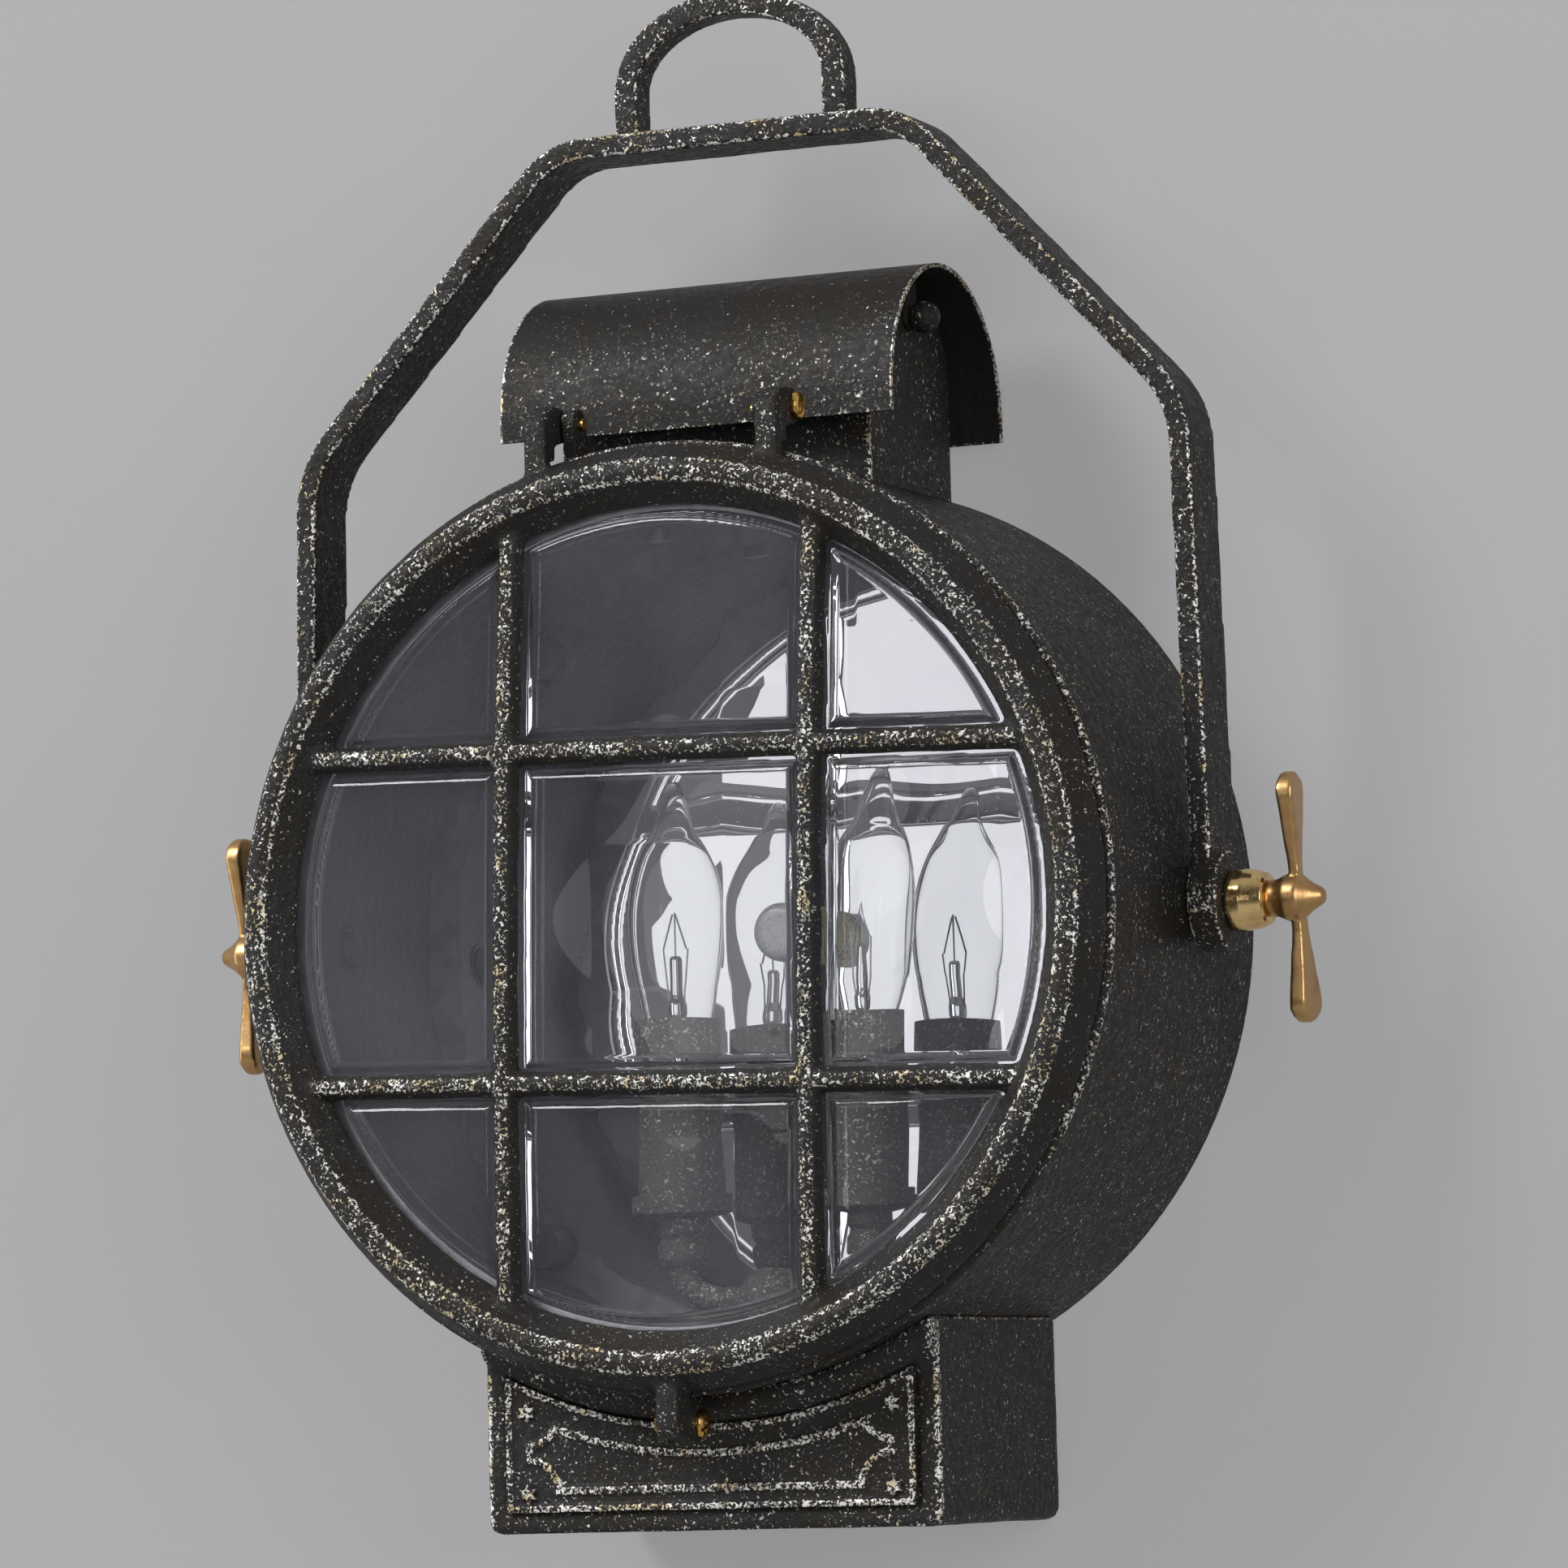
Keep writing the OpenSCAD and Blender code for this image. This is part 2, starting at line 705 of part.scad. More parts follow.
module vent_box() color(iron) {
    slot_pitch = (vent_w - 5 * vent_boss_r - vent_slot_w) / vent_slot_n;
    difference() {
        side_slab(-vent_w / 2, vent_w / 2) vent_section(0);
        difference() {
            side_slab(-vent_w / 2 + vent_wall, vent_w / 2 - vent_wall) vent_section(vent_wall);
            vent_screw_places() translate([0, 0, vent_low - 1])
                cylinder(r = vent_boss_r, h = vent_boss_top - vent_low + 1, $fn = fn_mid);
        }
        y_rod(drum_r, -drum_depth, 5, fn_big);
        translate([0, vent_mid_y, rod_z]) x_rod(rod_r + seat_gap, -vent_w, vent_w, fn_small);
        vent_screw_places() cylinder(r = vent_screw_r + seat_gap, h = vent_boss_top - 2, $fn = fn_small);
        for (i = [0:vent_slot_n - 1])
            translate([(i - (vent_slot_n - 1) / 2) * slot_pitch - vent_slot_w / 2,
                       vent_mid_y - vent_d / 2 - 1, vent_top - vent_round - vent_slot_h - 3])
                cube([vent_slot_w, vent_d + 2, vent_slot_h]);
    }
}

module vent_screws() color(steel) {
    x = vent_boss_x + 2 * vent_screw_r;
    head_z = sqrt(drum_in * drum_in - x * x);
    vent_screw_places() {
        translate([0, 0, head_z])
            cylinder(r = vent_screw_r, h = vent_boss_top - 4 - head_z, $fn = fn_small);
        translate([0, 0, head_z - 2.4]) cylinder(r = 2 * vent_screw_r, h = 2.4, $fn = fn_small);
    }
}

module hood_section(inset) {
    half = hood_r - inset;
    low = hood_low - (inset > 0 ? 1 : 0);
    translate([hood_y, 0]) intersection() {
        union() {
            translate([0, hood_arch_z]) circle(r = half, $fn = fn_big);
            translate([-half, low]) square([2 * half, hood_arch_z - low]);
        }
        translate([-hood_r, low]) square([2 * hood_r, 2 * hood_r]);
    }
}

module hood() color(iron) {
    tab_low = rod_z - tab_w / 2;
    tab_top = hood_arch_z + sqrt(pow(hood_r - hood_t / 2, 2) - pow(vent_mid_y - hood_y, 2)) - 0.6;
    side_slab(-hood_w / 2, hood_w / 2) difference() {
        hood_section(0);
        hood_section(hood_t);
    }
    both_sides() difference() {
        side_slab(tab_x, tab_x + tab_t) {
            translate([vent_mid_y - tab_w / 2, rod_z]) square([tab_w, tab_top - rod_z]);
            translate([vent_mid_y, rod_z]) circle(d = tab_w, $fn = fn_mid);
        }
        translate([0, vent_mid_y, rod_z]) x_rod(rod_r + seat_gap, tab_x - 1, tab_x + tab_t + 1, fn_small);
    }
}

module hood_rod() color(steel) {
    end = tab_x + tab_t + 7;
    translate([0, vent_mid_y, rod_z]) x_rod(rod_r, -end, end, fn_small);
}

module hood_ball_nuts() color(iron) {
    x = tab_x + tab_t;
    both_sides() translate([0, vent_mid_y, rod_z]) difference() {
        intersection() {
            translate([x + ball_r - 1, 0, 0]) sphere(r = ball_r, $fn = fn_mid);
            translate([x, -ball_r, -ball_r]) cube(2 * ball_r);
        }
        x_rod(rod_r + seat_gap, x - 1, x + 7.2, fn_small);
    }
}

// Hinge, seals and pivots

module pin_screw(end, head, turn) {
    // A screw along X from its end to its domed, slotted head
    edge = screw_head_t * 0.35;
    x_rod(ear_pin_r, end, head, fn_small);
    translate([head, 0, 0]) difference() {
        rotate([0, 90, 0]) rotate_extrude($fn = fn_mid) polygon(concat([[0, 0], [screw_head_r, 0]],
            [for (a = [0:15:90]) [screw_head_r * cos(a), edge + (screw_head_t - edge) * sin(a)]]));
        rotate([turn, 0, 0]) translate([screw_head_t - driver_depth, -screw_head_r - 1, -driver_w / 2])
            cube([driver_depth + 1, 2 * screw_head_r + 2, driver_w]);
    }
}

module hinge_screws() color(brass) {
    both_sides() translate([0, hinge_y, hinge_z]) pin_screw(hinge_screw_end, ear_out + face_gap, 60);
}

module door_gasket() color("black") {
    turned([[drum_in + 1, rim_y], [drum_r - 1, rim_y], [drum_r - 1, rim_y - door_gap + face_gap],
            [drum_in + 1, rim_y - door_gap + face_gap]]);
}

module pivot_studs() color(steel) {
    // Each stud comes through the housing from inside, where its low round head seats
    both_sides() translate([0, pivot_y, 0]) rotate([0, 90, 0]) rotate_extrude($fn = fn_mid) polygon([
        [0, boss_in - stud_head_t], [stud_head_r * 0.7, boss_in - stud_head_t], [stud_head_r, boss_in - 1],
        [stud_head_r, boss_in], [stud_r, boss_in], [stud_r, stud_end], [0, stud_end]]);
}

module friction_washers() color("saddlebrown") {
    both_sides() translate([0, pivot_y, 0]) difference() {
        x_rod(boss_r - 1, boss_out, boss_out + washer_t);
        x_rod(stud_r + seat_gap, boss_out - 1, boss_out + washer_t + 1);
    }
}

// Lamp cluster

module at_lamps() {
    for (s = [-1, 1]) translate([s * lamp_x, lamp_y, 0]) children();
}

module lamp_turned(points, fn = fn_mid) {
    at_lamps() rotate_extrude($fn = fn) polygon(points);
}

module lamp_hub() color(iron) {
    flange_t = 3;
    translate([0, 0, hub_z]) difference() {
        union() {
            turned([[0, mirror_y], [hub_flange_r, mirror_y], [hub_flange_r, mirror_y - flange_t + 1],
                    [hub_neck_r + 3, mirror_y - flange_t - 2], [hub_neck_r, mirror_y - flange_t - 7],
                    [hub_neck_r, lamp_y + hub_r], [hub_r - 2, lamp_y + hub_r - 3], [hub_r, lamp_y + 5],
                    [hub_r, lamp_y - 5], [hub_r - 3, lamp_y - hub_r + 1], [0, lamp_y - hub_r - 1]], fn_mid);
            y_rod(hub_tube_r, mirror_y - 0.5, plate_back_y + hub_nut_t + 0.5);
        }
        y_rod(arm_bore_r, lamp_y, 1, fn_small);
        translate([0, lamp_y, 0]) x_rod(arm_r + seat_gap, -hub_r - 1, hub_r + 1, fn_small);
    }
}

module hub_nut() color(steel) {
    translate([0, 0, hub_z])
        y_hex(hub_tube_r + 4, hub_tube_r + seat_gap, plate_back_y, plate_back_y + hub_nut_t);
}

module lamp_arms() color(iron) {
    inner = 5;
    for (s = [0, 1]) mirror([s, 0, 0]) translate([0, lamp_y, hub_z]) {
        difference() {
            x_rod(arm_r, inner, lamp_x - elbow_r, fn_small);
            x_rod(arm_bore_r, inner - 1, lamp_x - elbow_r + 1, fn_small);
        }
        translate([lamp_x - elbow_r, 0, elbow_r]) rotate([90, 0, 0]) rotate([0, 0, -90])
            rotate_extrude(angle = 90, $fn = 96) translate([elbow_r, 0]) difference() {
                circle(r = arm_r, $fn = fn_small);
                circle(r = arm_bore_r, $fn = fn_small);
            }
    }
}

module candle_cups() color(iron) {
    floor_z = sleeve_low;
    seat = sleeve_r + 0.1;
    lamp_turned([[arm_bore_r, cup_low], [neck_r - 1, cup_low], [neck_r, cup_low + 2], [neck_r, cup_low + 7],
                 [neck_r - 1.5, cup_low + 9], [neck_r, cup_low + 11], [neck_r, floor_z - cup_floor - 1],
                 [cup_r, floor_z - cup_floor + 1], [cup_r, floor_z + cup_wall_h],
                 [seat, floor_z + cup_wall_h], [seat, floor_z], [arm_bore_r, floor_z]]);
}

module candle_sleeves() color(iron) {
    lamp_turned([[sleeve_r - sleeve_wall, sleeve_low], [sleeve_r, sleeve_low], [sleeve_r, sleeve_top],
                 [sleeve_r - sleeve_wall, sleeve_top]]);
}

module lamp_sockets() color([0.08, 0.08, 0.08]) {
    low = socket_top - socket_h;
    stem_r = 5;
    bore = shell_r + seat_gap;
    lamp_turned([[0, sleeve_low], [stem_r, sleeve_low], [stem_r, low], [socket_r - 2, low],
                 [socket_r, low + 3], [socket_r, socket_top], [bore, socket_top], [bore, cap_low - 3],
                 [0, cap_low - 3]]);
}

module socket_shells() color(brass) {
    bore = shell_r - shell_wall;
    lamp_turned([[bore, cap_low - 1], [shell_r, cap_low - 1], [shell_r, socket_top - 1],
                 [bore, socket_top - 1]]);
}

module bulb_caps() color(brass) {
    lamp_turned([[0, cap_low - 2.8], [2, cap_low - 2.4], [2.4, cap_low - 1], [cap_r - 1, cap_low],
                 [cap_r, cap_low + 2], [cap_r, cap_top], [cap_r - glass_t, cap_top],
                 [cap_r - glass_t, cap_low + 3], [0, cap_low + 3]]);
}

function bulb_outline() = [
    [cap_r - glass_t - 0.05, bulb_low - 4], [cap_r - glass_t - 0.05, bulb_low + 1.9],
    [cap_r + 0.8, bulb_low + 4], [bulb_r * 0.62, sleeve_top - 1],
    [bulb_r * 0.80, sleeve_top + bulb_h * 0.145], [bulb_r * 0.95, sleeve_top + bulb_h * 0.29],
    [bulb_r, bulb_belly], [bulb_r * 0.97, bulb_belly + bulb_h * 0.11],
    [bulb_r * 0.83, bulb_belly + bulb_h * 0.24], [bulb_r * 0.60, bulb_tip - bulb_h * 0.25],
    [bulb_r * 0.34, bulb_tip - bulb_h * 0.145], [bulb_r * 0.19, bulb_tip - bulb_h * 0.06],
    [bulb_r * 0.10, bulb_tip - 0.6], [0, bulb_tip]];

module bulb_glasses() color([0.9, 0.95, 1.0, 0.3]) {
    outline = bulb_outline();
    last = len(outline) - 1;
    inner = [for (i = [last - 1:-1:0])
        [max(outline[i].x - glass_t, 0.01), outline[i].y - (i > 9 ? 1.2 : 0)]];
    lamp_turned(concat(outline, [[0, bulb_tip - 3]], inner));
}

module bulb_stems() color([0.85, 0.9, 0.95, 0.5]) {
    // Flare, pinch and rod
    flare = cap_r - 2 * glass_t - 0.2;
    lamp_turned([[0, bulb_low - 3.8], [flare, bulb_low - 3.8], [flare * 0.5, bulb_low + 3],
                 [stem_pinch_r - 1, sleeve_top - 1], [stem_pinch_r, sleeve_top + 2],
                 [stem_pinch_r, sleeve_top + 5], [stem_rod_r, sleeve_top + 8],
                 [stem_rod_r, stem_top - 1], [stem_rod_r - 0.6, stem_top], [0, stem_top]], fn_small);
}

// A wire between two points in the lamp's own frame
module wire(a, b, r) {
    d = b - a;
    translate(a) rotate([0, acos(d.z / norm(d)), atan2(d.y, d.x)]) cylinder(r = r, h = norm(d), $fn = 16);
}

module filament_supports() color(steel) {
    at_lamps() {
        wire([0, 0, stem_top], [0, 0, stem_top + wire_rise], wire_r);
        for (s = [-1, 1])
            wire([s * (stem_pinch_r - 0.6), 0, sleeve_top + 4],
                 [s * wire_spread, 0, stem_top + wire_side_rise], wire_r);
    }
}

module filaments() color("silver") {
    front = -wire_r - filament_r;
    at_lamps() for (s = [-1, 1])
        wire([s * (wire_spread - wire_r), front, stem_top + wire_side_rise],
             [s * 0.5, front, stem_top + wire_rise - 2 * wire_r], filament_r);
}

// Door

module grille_bar() {
    // Bowed forward in the middle, with its front edges broken into flats
    half = bar_w / 2;
    flank = bar_bow_r - half;
    shoulder = bar_bow_r - half * 0.29;
    translate([0, bar_front_y + bar_bow_r, 0]) rotate([0, 0, -90]) rotate([0, 0, -bar_angle])
        rotate_extrude(angle = 2 * bar_angle, $fn = fn_bow) polygon([
            [bar_bow_r - bar_depth, -half], [flank, -half], [shoulder, -half * 0.71],
            [bar_bow_r, -half * 0.25], [bar_bow_r, half * 0.25], [shoulder, half * 0.71], [flank, half],
            [bar_bow_r - bar_depth, half]]);
}

module door_ear() {
    side_slab(ear_in, ear_out) {
        translate([hinge_y, hinge_z]) circle(r = ear_r, $fn = fn_mid);
        polygon([[ear_front_y, crest_r], [ear_front_y, hinge_z], [ear_front_y + 4, hinge_z + ear_r * 0.7],
                 [ear_front_y + 9, hinge_z + ear_r], [hinge_y, hinge_z + ear_r], [hinge_y, hinge_z - ear_r],
                 [ear_front_y + ear_neck, hinge_z - ear_r - 2], [ear_front_y + ear_neck, ear_neck_low],
                 [door_y, ear_neck_low], [door_y, crest_r]]);
    }
}

module latch_ear() {
    half = latch_ear_w / 2;
    front = crest_y + 4;
    side_slab(-half, half) {
        translate([latch_y, latch_z]) circle(r = latch_ear_r, $fn = fn_mid);
        polygon([[front, -crest_r], [front, latch_z - latch_ear_r * 0.35],
                 [front + 4, latch_z - latch_ear_r * 0.75], [latch_y, latch_z - latch_ear_r],
                 [latch_y, latch_z + latch_ear_r], [door_y, latch_z + latch_ear_r], [door_y, -crest_r]]);
    }
}

module door_frame() color(iron) {
    crest_in = crest_r - crest_w / 2;
    crest_out = crest_r + crest_w / 2;
    difference() {
        union() {
            turned([[glass_r, door_y - lip_back - lip_t], [crest_in, crest_y + 1], [crest_r, crest_y],
                    [crest_out, crest_y + 1], [drum_r - 0.3, door_y - 3], [drum_r, door_y - 2],
                    [drum_r, door_y], [spigot_r, door_y], [spigot_r, spigot_y], [pocket_r, spigot_y],
                    [pocket_r, door_y - lip_back], [rest_r, door_y - lip_back]]);
            for (s = [-1, 1], turn = [0, 90])
                rotate([0, grille_turn + turn, 0]) translate([0, 0, s * bar_offset]) grille_bar();
            both_sides() door_ear();
            latch_ear();
        }
        translate([0, hinge_y, hinge_z]) x_rod(ear_pin_r + run_fit, -ear_out - 1, ear_out + 1);
        translate([0, latch_y, latch_z]) x_rod(ear_pin_r + seat_gap, -latch_ear_w, latch_ear_w, fn_small);
        retainer_screw_places()
            y_rod(retainer_screw_r + seat_gap, spigot_y + 1, spigot_y - retainer_screw_l - 1, fn_small);
    }
}

module retainer_screw_places() {
    for (i = [0:retainer_screw_n - 1])
        rotate([0, 30 + i * 360 / retainer_screw_n, 0]) translate([retainer_screw_pcd_r, 0, 0]) children();
}

// Depth of the glass dome's front at a radius
function dome(r, rise) = -rise * (1 - pow(r / dome_r, 2));

module lens_pane(ix, iz) {
    near = bar_offset + pane_edge;
    far = 2 * glass_r;
    x0 = ix == 0 ? -bar_offset + pane_edge : ix > 0 ? near : -far;
    x1 = ix == 0 ? bar_offset - pane_edge : ix > 0 ? far : -near;
    z0 = iz == 0 ? -bar_offset + pane_edge : iz > 0 ? near : -far;
    z1 = iz == 0 ? bar_offset - pane_edge : iz > 0 ? far : -near;
    translate([x0, z0]) square([x1 - x0, z1 - z0]);
}

module lens() color([0.85, 0.9, 0.95, 0.35]) {
    radii = [for (i = [0:dome_steps]) dome_r * i / dome_steps];
    back = [for (i = [dome_steps:-1:0]) [radii[i] * 0.985, lens_y + lens_t + dome(radii[i], lens_rise)]];
    front = [for (r = radii) [r, lens_y + dome(r, lens_rise)]];
    raised = [for (r = radii) [r, lens_y + dome(r, lens_rise) - pane_rise]];
    turned(concat(front, [[lens_edge_r, lens_y], [lens_edge_r, lens_y + lens_t]], back));
    intersection() {
        turned(concat(raised, [[dome_r, lens_y + 0.5]], [for (i = [dome_steps:-1:0])
            [radii[i], lens_y + dome(radii[i], lens_rise) + lens_t / 2]]));
        translate([0, lens_y + lens_t, 0]) rotate([90, 0, 0])
            linear_extrude(height = 2 * door_depth) intersection() {
                circle(r = pane_limit_r, $fn = fn_big);
                rotate(-grille_turn) for (ix = [-1:1], iz = [-1:1]) lens_pane(ix, iz);
            }
    }
}

module lens_gasket() color("black") {
    turned([[glass_r + 0.7, lens_y - gasket_t], [lens_edge_r, lens_y - gasket_t], [lens_edge_r, lens_y],
            [glass_r + 0.7, lens_y]]);
}

module retaining_ring() color(steel) {
    difference() {
        turned([[retainer_r_in, spigot_y], [retainer_r_out, spigot_y],
                [retainer_r_out, spigot_y + retainer_t], [retainer_r_in, spigot_y + retainer_t]]);
        retainer_screw_places()
            y_rod(retainer_screw_r + seat_gap, spigot_y - 1, spigot_y + retainer_t + 1, fn_small);
    }
}

module retaining_screws() color(steel) {
    head_y = spigot_y + retainer_t;
    retainer_screw_places() {
        y_rod(retainer_screw_r, head_y, spigot_y - retainer_screw_l, fn_small);
        y_rod(2 * retainer_screw_r - 0.2, head_y + 1.6, head_y, fn_small);
    }
}

module latch_screw() color(brass) {
    translate([0, latch_y, latch_z]) pin_screw(latch_screw_end, latch_ear_w / 2, 35);
}

module latch_nut() color(brass) {
    x = -latch_keeper_out - face_gap;
    translate([0, latch_y, latch_z]) difference() {
        x_rod(latch_nut_r, x - latch_nut_t, x, 6);
        x_rod(ear_pin_r + seat_gap, x - latch_nut_t - 1, x + 1, fn_small);
    }
}

// Bail

function bail_half(inset) =
    let (a = [arm_out - inset, 0], b = [arm_bend_out - inset, bail_bend_h], c = [bail_top_x, bail_h - inset])
    let (lean = [arm_bend_out, bail_bend_h], top = [bail_top_x, bail_h])
    let (run = (top - lean) / norm(top - lean), side = [-run.y, run.x])
    let (b1 = lean + side * inset, k = (arm_out - arm_bend_out) / bail_bend_h)
    let (t = (b1.x - (arm_out - inset) + k * b1.y) / (-run.x - k * run.y), low = b1 + run * t)
    let (high = b1 + run * ((bail_h - inset - b1.y) / run.y))
    concat([a], corner(a, low, high, lower_bend_r - inset, bend_steps),
           corner(low, high, [0, bail_h - inset], upper_bend_r - inset, bend_steps));

module bail() color(iron) {
    outer = bail_half(0);
    inner = bail_half(strap_t);
    n_out = len(outer) - 1;
    n_in = len(inner) - 1;
    difference() {
        union() {
            translate([0, pivot_y + strap_w / 2, 0]) rotate([90, 0, 0]) linear_extrude(height = strap_w)
                polygon(concat(outer, [for (i = [n_out:-1:0]) [-outer[i].x, outer[i].y]],
                               [for (i = [0:n_in]) [-inner[i].x, inner[i].y]],
                               [for (i = [n_in:-1:0]) inner[i]]));
            both_sides() translate([0, pivot_y, 0]) x_rod(eye_r, eye_in, eye_out);
        }
        both_sides() translate([0, pivot_y, 0]) x_rod(stud_r + run_fit, eye_in - 1, eye_out + 1);
    }
}

module bail_loop() color(iron) {
    leg = 15;
    n = 24;
    inner_r = loop_r - loop_t;
    outer = [for (i = [0:n]) let (a = 180 * i / n)
        [loop_r * cos(a), bail_h + leg + (loop_h - leg) * sin(a)]];
    inner = [for (i = [n:-1:0]) let (a = 180 * i / n)
        [inner_r * cos(a), bail_h + leg + (loop_h - leg - loop_t) * sin(a)]];
    translate([0, pivot_y + loop_w / 2, 0]) rotate([90, 0, 0]) linear_extrude(height = loop_w)
        polygon(concat([[loop_r, bail_h]], outer, [[-loop_r, bail_h], [-inner_r, bail_h]], inner,
                       [[inner_r, bail_h]]));
}

// Wing nuts

module barrel() color(brass) {
    bore = stud_r + run_fit;
    translate([0, pivot_y, 0]) rotate([0, 90, 0]) rotate_extrude($fn = fn_mid) polygon([
        [bore, barrel_in], [barrel_r - 0.6, barrel_in], [barrel_r, barrel_in + 1],
        [barrel_r, barrel_in + barrel_l * 0.4], [barrel_r * 0.96, barrel_in + barrel_l * 0.7],
        [barrel_r * 0.85, barrel_out - 0.6],
        [barrel_r * 0.78, barrel_out], [bore, barrel_out]]);
}

module paddle() {
    // One wing, pointing up: thin from side to side, wider and thicker towards its tip
    tip_r = paddle_w / 2;
    tip_z = wing_span / 2 - tip_r;
    top = wing_span / 2;
    root = 3;
    low = 3;
    intersection() {
        translate([-paddle_t, 0, 0]) rotate([90, 0, 90]) linear_extrude(height = 2 * paddle_t) {
            translate([0, tip_z]) circle(r = tip_r, $fn = fn_mid);
            polygon([[-root, low], [-root, wing_span * 0.14], [-tip_r, tip_z], [tip_r, tip_z],
                     [root, wing_span * 0.14], [root, low]]);
        }
        translate([0, paddle_w, 0]) rotate([90, 0, 0]) linear_extrude(height = 2 * paddle_w)
            polygon([[-paddle_root_t / 2, low], [paddle_root_t / 2, low], [paddle_t / 2, top - 4],
                     [paddle_t * 0.32, top + 1], [-paddle_t * 0.32, top + 1], [-paddle_t / 2, top - 4]]);
    }
}

module wing_nut(tilt) {
    neck_r = barrel_r * 0.58;
    hub_r = barrel_r * 0.74;
    hub_x = barrel_out + 4;
    wing_x = hub_x + 5.7;
    color(brass) translate([0, pivot_y, 0]) rotate([tilt, 0, 0]) difference() {
        union() {
            rotate([0, 90, 0]) rotate_extrude($fn = fn_mid) polygon([
                [0, barrel_out], [neck_r, barrel_out], [neck_r, hub_x - 1], [hub_r, hub_x + 2.5],
                [hub_r, hub_x + 7],
                [hub_r * 0.62, wing_nose - 4.4], [hub_r * 0.3, wing_nose], [0, wing_nose]]);
            for (s = [0, 1]) rotate([s * 180, 0, 0]) translate([wing_x, 0, 0])
                rotate([0, 0, paddle_twist]) paddle();
        }
        x_rod(stud_r + run_fit, barrel_out - 1, stud_end + 0.6);
    }
}

module barrel_left() mirror([1, 0, 0]) barrel();

module barrel_right() barrel();

module wing_nut_left() mirror([1, 0, 0]) wing_nut(5);

module wing_nut_right() wing_nut(wing_tilt);

drum_shell();
back_plate();
back_plate_screws();
crossbar();
center_nipple();
nipple_lock_nut();
mirror_nut();
cap_nut();
ground_screw();
mirror_disc();
base_box();
base_screws();
front_panel();
panel_studs();
vent_box();
vent_screws();
hood();
hood_rod();
hood_ball_nuts();
hinge_screws();
door_gasket();
pivot_studs();
friction_washers();
lamp_hub();
hub_nut();
lamp_arms();
candle_cups();
candle_sleeves();
lamp_sockets();
socket_shells();
bulb_caps();
bulb_glasses();
bulb_stems();
filament_supports();
filaments();
door_frame();
lens();
lens_gasket();
retaining_ring();
retaining_screws();
latch_screw();
latch_nut();
bail();
bail_loop();
barrel_left();
barrel_right();
wing_nut_left();
wing_nut_right();
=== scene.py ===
"""Wall lantern: cast texture, pressed glass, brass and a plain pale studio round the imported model."""
import json
import math

import bmesh
import bpy
import numpy as np
from mathutils import Matrix, Vector, noise


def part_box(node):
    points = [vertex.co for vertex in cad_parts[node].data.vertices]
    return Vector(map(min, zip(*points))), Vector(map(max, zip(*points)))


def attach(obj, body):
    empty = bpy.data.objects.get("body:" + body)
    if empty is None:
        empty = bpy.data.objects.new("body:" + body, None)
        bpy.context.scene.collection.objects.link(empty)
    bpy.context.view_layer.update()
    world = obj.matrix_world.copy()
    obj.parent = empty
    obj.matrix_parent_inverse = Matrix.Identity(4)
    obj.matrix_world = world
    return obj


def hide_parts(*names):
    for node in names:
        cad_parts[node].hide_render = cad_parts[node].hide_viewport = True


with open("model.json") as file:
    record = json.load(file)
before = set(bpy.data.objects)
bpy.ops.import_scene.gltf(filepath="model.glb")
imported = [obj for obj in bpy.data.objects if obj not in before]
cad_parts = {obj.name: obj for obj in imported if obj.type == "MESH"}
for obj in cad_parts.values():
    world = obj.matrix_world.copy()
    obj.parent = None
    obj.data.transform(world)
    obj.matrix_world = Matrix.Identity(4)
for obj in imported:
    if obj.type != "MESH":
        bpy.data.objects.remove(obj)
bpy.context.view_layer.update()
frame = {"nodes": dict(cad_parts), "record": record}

MM = 0.001
NODES = frame["nodes"]
BODY_OF = {n: body for body, members in frame["record"]["behaviour"]["bodies"].items() for n in members}

# Driving sizes, read from the frame
DRUM_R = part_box("door_gasket")[1].x + 1 * MM
RIM_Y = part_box("door_gasket")[1].y
LENS_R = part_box("lens")[1].x
LENS_BACK_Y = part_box("lens")[1].y
LENS_FRONT_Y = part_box("lens")[0].y
MIRROR_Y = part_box("mirror_disc")[0].y
PIVOT_Y = (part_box("bail")[0].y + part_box("bail")[1].y) / 2
STRAP_HALF = 12.5 * MM
HOOD_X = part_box("hood")[1].x
HOOD_LOW, HOOD_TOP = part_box("hood")[0].z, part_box("hood")[1].z
HOOD_MID_Y = (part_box("hood")[0].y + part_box("hood")[1].y) / 2
BASE_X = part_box("base_box")[1].x
BASE_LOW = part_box("base_box")[0].z
BASE_FRONT_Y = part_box("front_panel")[0].y + 2.4 * MM
PANEL_FACE_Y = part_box("front_panel")[0].y + 0.9 * MM
VENT_X, VENT_FRONT_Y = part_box("vent_box")[1].x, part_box("vent_box")[0].y
BEAD_Y = -132.2 * MM
CREST_Y = -149 * MM
CREST_R = 148.5 * MM
BAR_OFFSET = 55.5 * MM
GRILLE_TURN = math.radians(1.6)

# The photograph's camera, fitted to the lantern's circles and corners
CAMERA_TURN, CAMERA_RISE, CAMERA_ROLL = 24.17, -4.02, 1.48
CAMERA_DISTANCE = 2478.08 * MM
CAMERA_TARGET = Vector((0, -60 * MM, 0))
AIM_RIGHT, AIM_UP = 9.92 * MM, 49.11 * MM
CAMERA_LENS = 166.2

